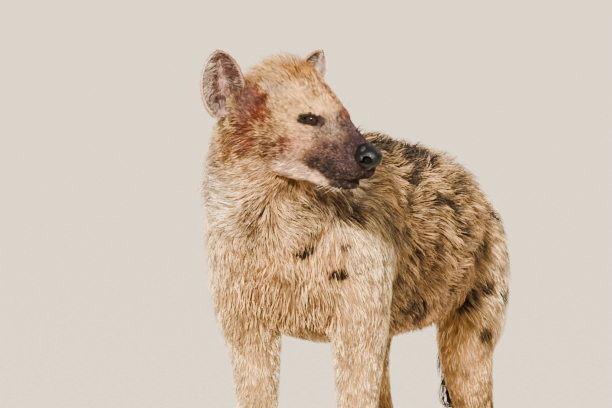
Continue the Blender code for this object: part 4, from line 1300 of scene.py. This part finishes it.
def eye(side):
    """An eyeball with a raised cornea, an iris with fine rays and a dark rim."""
    sign = 1 if side == "left" else -1
    place = eye_frame(sign)
    bm = bmesh.new()
    grid = []
    for angle in np.linspace(0, math.pi, EYE_RINGS + 1)[1:-1]:
        reach = EYE_RADIUS - EYE_ROOM + CORNEA_RISE * max(0.0, 1 - (angle / CORNEA_EDGE) ** 2)
        wide, high = reach * math.sin(angle), reach * math.cos(angle)
        ring = []
        for k in range(EYE_SIDES):
            turn = 2 * math.pi * k / EYE_SIDES
            ring.append(bm.verts.new(place @ Vector((wide * math.cos(turn), wide * math.sin(turn), high))))
        grid.append(ring)
    front = bm.verts.new(place @ Vector((0, 0, EYE_RADIUS - EYE_ROOM + CORNEA_RISE)))
    rear = bm.verts.new(place @ Vector((0, 0, -EYE_RADIUS)))
    for k in range(EYE_SIDES):
        after = (k + 1) % EYE_SIDES
        bm.faces.new((front, grid[0][k], grid[0][after]))
        bm.faces.new((rear, grid[-1][after], grid[-1][k]))
        for low, high in zip(grid, grid[1:]):
            bm.faces.new((low[k], high[k], high[after], low[after]))
    made = object_of("eye_ball_" + side, bm)
    back = np.array(place.inverted())
    local = vertices_of(made.data) @ back[:3, :3].T + back[:3, 3]
    angle = np.arctan2(np.hypot(local[:, 0], local[:, 1]), local[:, 2])
    turn = np.arctan2(local[:, 1], local[:, 0])
    rays = 0.75 + 0.25 * np.sin(turn * 36) * np.sin(turn * 23 + 1) + 0.5 * (angle - PUPIL)
    tone = IRIS_TONE * rays[:, None]
    edge = np.clip((angle - 0.58) / 0.16, 0, 1)[:, None]
    tone = tone * (1 - edge) + IRIS_RIM * edge
    tone = np.where((angle < PUPIL)[:, None], BLACK * 0.3, tone)
    tone = np.where((angle > IRIS)[:, None], EYE_DARK, tone)
    paint(made.data, np.where((angle > WHITE)[:, None], EYE_DARK * 0.8, tone))
    dress(made.data, EYE)
    return made


def nose():
    """The bare pad with its two nostrils and the furrow between them."""
    bm = bmesh.new()
    add_both(bm, NOSE_FORMS, HEAD)
    made = fused(object_of("nose_pad", bm), NOSE_VOXEL, NOSE_SMOOTHING)
    cutters = []
    for sign in (1, -1):
        for centre, radii in NOSTRIL_FORMS:
            cutters.append(ball(on_side(centre, sign), radii, HEAD))
    boolean(made, cutters, "DIFFERENCE")
    points = to_head(vertices_of(made.data))
    furrow = np.exp(-(points[:, 1] / FURROW_WIDTH) ** 2) * np.clip((points[:, 0] - 0.112) / 0.008, 0, 1)
    low = np.clip((-0.036 - points[:, 2]) / 0.01, 0, 1)
    points[:, 0] -= FURROW_DEPTH * furrow * low
    made.data.vertices.foreach_set("co", from_head(points).reshape(-1))
    made.data.materials.clear()
    made.data.polygons.foreach_set("material_index", [0] * len(made.data.polygons))
    dress(made.data, NOSE)
    return made


WHISKER_WIDTH, WHISKER_ROOT = 0.00042, 0.001
WHISKERS = [  # rows of the pad: start and end on the left side, how many, length, lean from the skin, dark
    ((0.088, 0.030, -0.050), (0.050, 0.038, -0.056), 7, 0.052, 0.5, 1),
    ((0.086, 0.031, -0.060), (0.048, 0.040, -0.066), 7, 0.060, 0.5, 1),
    ((0.082, 0.030, -0.070), (0.046, 0.040, -0.075), 6, 0.050, 0.4, 1),
    ((0.010, 0.040, 0.018), (-0.006, 0.042, 0.022), 4, 0.032, 1.2, 1),
    ((0.070, 0.014, -0.100), (0.040, 0.026, -0.105), 6, 0.022, 0.6, 0),
]


def whiskers(tree):
    """Long stiff hairs of the lips, brows and chin."""
    roots, outs, flows, sizes, tones = [], [], [], [], []
    for start, end, count, length, lean, dark in WHISKERS:
        for sign in (1, -1):
            for i in range(count):
                place = Vector(start).lerp(Vector(end), i / (count - 1))
                at, out, _, _ = tree.find_nearest(HEAD @ on_side(place, sign))
                back = HEAD.to_3x3() @ Vector((-1.0, 0.25 * sign, -0.25))
                roots.append(at - out * WHISKER_ROOT)
                outs.append(out)
                flows.append((back + out * lean + Vector(CHANCE.normal(0, 0.12, 3))).normalized())
                sizes.append((length * CHANCE.uniform(0.7, 1.2), 0.004 * lean, WHISKER_WIDTH))
                tones.append(BLACK if dark else CREAM * 0.8)
    roots, outs, flows, sizes, tones = [np.array(rows) for rows in (roots, outs, flows, sizes, tones)]
    path = straight(roots, outs, flows, sizes, 4)
    shades = np.repeat(tones[:, None], 5, axis=1)
    return mesh_of_tufts("whiskers", path, outs, sizes[:, 2], shades, unwrapped(roots, "head"), FUR)


# The tufts of the coat

LONG = 0.030  # a tuft from this length has three rings, a shorter one two
COVER, HEAD_COVER, LONG_COVER = 1.0, 1.9, 2.05  # how many tufts lie over each place
LIDS_BARE = (0.0195, 0.013, 0.009)  # reach from the middle of the lids
NOSE_FROM, NOSE_OVER = 0.101, -0.060  # bare before and above these places of the head
FLOOR_BARE = 0.003
SMALL_LOCK, LARGE_LOCK = 4, 40  # tufts in each
GATHERS = {3: (0.36, 0.22), 2: (0.16, 0.0)}  # by rings: how far tufts gather to small and large locks
DARK_LOCKS, DARK_HAIRS = 0.21, 0.13  # shares of all
PALE_LOCKS, PALE_HAIRS = 0.84, 0.90  # from these shares on
MOST_TRIANGLES = 190000  # in a piece
SKIN_SHADE, ROOT_SHADE = 0.5, 0.75  # of the skin under the coat and of the tufts' roots
MARKED_AT = 0.65  # share of a tuft's length at which it takes its marks


def coloured(skin):
    """Gives the skin under the coat its colours, darkened by SKIN_SHADE as painted shade between the tufts.
    """
    points = vertices_of(skin.data)
    paint(skin.data, painted(points, coat_at(points)[2]) * SKIN_SHADE)
    dress(skin.data, SKIN)


def rooted(skin):
    """Where the tufts grow and the ways out of the skin there: all over but on the lids, nose and soles."""
    points, normals, corners = skin_arrays(skin)
    sizes = coat_at(points)[1]
    cover = np.where(regions(points) == "head", HEAD_COVER, COVER)
    cover = np.where(sizes[:, 0] > LONG, LONG_COVER, cover)
    faces, weights = scattered(points, corners, cover / (sizes[:, 0] * sizes[:, 2]))
    roots = (points[corners[faces]] * weights[:, :, None]).sum(axis=1)
    outs = unit((normals[corners[faces]] * weights[:, :, None]).sum(axis=1))
    local = to_head(roots)
    keep = (roots[:, 2] > FLOOR_BARE) & ~((local[:, 0] > NOSE_FROM) & (local[:, 2] > NOSE_OVER))
    for sign in (1, -1):
        gap = (local - np.array(on_side(EYE_AT, sign))) / LIDS_BARE
        keep &= (gap * gap).sum(axis=1) > 1
    return roots[keep], outs[keep]


def varied(sizes, wild, small, large):
    """The sizes with a chance share for each tuft and a rise that its locks have in common."""
    count = len(sizes)
    locks = CHANCE.uniform(-0.35, 0.35, count)[small] + CHANCE.uniform(-0.25, 0.25, count)[large]
    lock_rise = 1 + locks * np.clip(wild, 0.6, 1.0)
    return sizes * np.stack([
        CHANCE.uniform(0.7, 1.25, count),
        CHANCE.uniform(0.75, 1.2, count) * lock_rise,
        CHANCE.uniform(0.7, 1.3, count),
    ], axis=1)


def lightness(roots, where, small, large):
    """How bright each tuft is and how far its tip is pale, by its locks, by chance and by place."""
    count = len(roots)
    on_head, on_trunk = where == "head", where == "trunk"
    bright = 1 + noise(roots, 0.03, 8) * 0.12 + CHANCE.normal(0, 0.14, count)
    locks = np.where(on_head, 0.20, np.where(on_trunk, 0.30, 0.24))
    bright = bright + CHANCE.normal(0, 1, count)[small] * locks + CHANCE.normal(0, 0.17, count)[large]
    bright = bright - 0.45 * np.clip(noise(roots, 0.09, 12), 0, 1) * on_trunk
    kind = CHANCE.random(count)[small]
    single = CHANCE.random(count)
    bright = np.where((kind < DARK_LOCKS) | (single < DARK_HAIRS), bright * 0.38, bright)
    pale = np.where((kind > PALE_LOCKS) | (single > PALE_HAIRS), np.where(on_head, 0.24, 0.40), 0.0)
    return np.clip(bright, 0.22, 1.8)[:, None], pale[:, None]


def gathered(path, index, locks, gathers):
    """The paths of the tufts of that index, drawn to the leaders of their locks, most at the tips."""
    row_of = np.full(len(locks[0]), -1)
    row_of[index] = np.arange(len(index))
    rise = np.linspace(0, 1, path.shape[1])
    for lock, gather in zip(locks, gathers):
        leader = row_of[lock[index]]
        leader = np.where(leader < 0, np.arange(len(index)), leader)
        pull = (gather * rise ** 1.3)[None, :, None]
        path = path * (1 - pull) + path[leader] * pull
    return path


def make_coat(skin, tree):
    """The pieces of the coat, by region and by the length of their tufts."""
    roots, outs = rooted(skin)
    flow, sizes, root_tone, tip_tone = coat_at(roots)
    where = regions(roots)
    count = len(roots)
    wild = np.clip(sizes[:, 0] / 0.05, 0.15, 1.0)
    turn = (noise(roots, 0.07, 3) * 0.36 * wild + CHANCE.normal(0, 0.18, count))[:, None]
    flow = along_skin(flow, outs)
    side = np.cross(outs, flow)
    flow = flow * np.cos(turn) + side * np.sin(turn)
    locks = leaders(roots, SMALL_LOCK), leaders(roots, LARGE_LOCK)
    sizes = varied(sizes, wild, *locks)
    bend = CHANCE.normal(0, 0.09, count) + CHANCE.normal(0, 0.07, count)[locks[0]]
    bright, pale = lightness(roots, where, *locks)
    grain = CHANCE.uniform(0.25, 1.45, count)[locks[0]][:, None] * CHANCE.uniform(0.7, 1.3, (count, 1))
    shown = roots + flow * (sizes[:, :1] * MARKED_AT)
    root_tone = painted(shown, root_tone, grain) * bright * ROOT_SHADE
    tip_tone = painted(shown, tip_tone, grain)
    cream = CREAM * pale * (0.25 + tip_tone.mean(axis=1, keepdims=True))
    tip_tone = (tip_tone * (1 - pale) + cream) * bright
    made = []
    for rings, gathers in GATHERS.items():
        index = np.flatnonzero((sizes[:, 0] > LONG) == (rings == 3))
        path = laid(tree, roots[index], outs[index], flow[index], sizes[index], rings)
        rise = np.linspace(0, 1, rings + 1)[None, :, None]
        path += side[index][:, None] * (bend[index] * sizes[index, 0])[:, None, None] * rise ** 2
        path = gathered(path, index, locks, gathers)
        share = rise ** 0.7
        tones = root_tone[index][:, None] * (1 - share) + tip_tone[index][:, None] * share
        most = MOST_TRIANGLES // (6 * rings - 2)
        for region in WRAPS:
            inside = np.flatnonzero(where[index] == region)
            for start in range(0, len(inside), most):
                some = inside[start:start + most]
                tufts = index[some]
                name = f"coat_{region}_{'long' if rings == 3 else 'short'}_{start // most + 1}"
                made.append(mesh_of_tufts(
                    name, path[some], outs[tufts], sizes[tufts, 2], tones[some],
                    unwrapped(roots[tufts], region), FUR,
                ))
    return made


# Making it all

skin = make_skin()
coloured(skin)
tree = tree_of(skin)
coats = make_coat(skin, tree)

flesh = [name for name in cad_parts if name.split("_")[0] not in ("eye", "nose", "claw", "ear")]
finish_piece(skin, "coat", *flesh)
for piece in coats:
    finish_piece(piece, "coat")
for side in EARS:
    finish_piece(ear(side), "ear", "ear_" + side)
    finish_piece(ear_tufts(side), "coat")
    finish_piece(eye(side), "eye", "eye_" + side)
finish_piece(nose(), "nose", "nose")
finish_piece(whiskers(tree), "coat")
for name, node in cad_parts.items():
    if name.startswith("claw"):
        node.data.materials.clear()
        node.data.materials.append(CLAW)

# Camera, floor and lights

TARGET = Vector((0.31, 0.0, 0.687)) + SHIFT  # what the middle of the photograph shows
AZIMUTH = math.radians(19)
HEIGHT = math.radians(3)
DISTANCE = 14.0
LENS, SENSOR = 486.0, 36.0
FLOOR_RADIUS = 150.0

camera_data = bpy.data.cameras.new("camera")
camera_data.lens = LENS
camera_data.sensor_width = SENSOR
camera_data.clip_end = 2 * FLOOR_RADIUS
camera = linked("camera", camera_data)
level = math.cos(HEIGHT)
away = Vector((level * math.cos(AZIMUTH), level * math.sin(AZIMUTH), math.sin(HEIGHT)))
camera.location = TARGET + away * DISTANCE
camera.rotation_euler = away.to_track_quat("Z", "Y").to_euler()
bpy.context.scene.camera = camera

bm = bmesh.new()
bmesh.ops.create_circle(bm, cap_ends=True, segments=64, radius=FLOOR_RADIUS)
floor = object_of("floor", bm)
floor.data.materials.append(material("floor", (0.70, 0.59, 0.44), 0.95, 0.2))


def light(name, kind, where, power, tone, **more):
    """A light that shines from that direction on what the photograph's middle shows."""
    data = bpy.data.lights.new(name, kind)
    data.energy = power
    data.color = tone
    for key, value in more.items():
        setattr(data, key, value)
    made = linked(name, data)
    made.location = TARGET + Vector(where)
    made.rotation_euler = Vector(where).to_track_quat("Z", "Y").to_euler()


light("key", "SUN", (0.930, 0.080, 0.350), 24.0, (1.0, 0.94, 0.85), angle=math.radians(5))
light("fill", "AREA", (2.2, 3.0, 0.9), 46, (0.94, 0.97, 1.0), size=2.4)
light("back", "AREA", (-2.2, 1.6, 2.4), 60, (1.0, 0.95, 0.88), size=2.0)
world = bpy.data.worlds.new("world")
world.use_nodes = True
sky = world.node_tree.nodes["Background"]
sky.inputs["Color"].default_value = (0.93, 0.94, 0.97, 1.0)
sky.inputs["Strength"].default_value = 0.42
bpy.context.scene.world = world
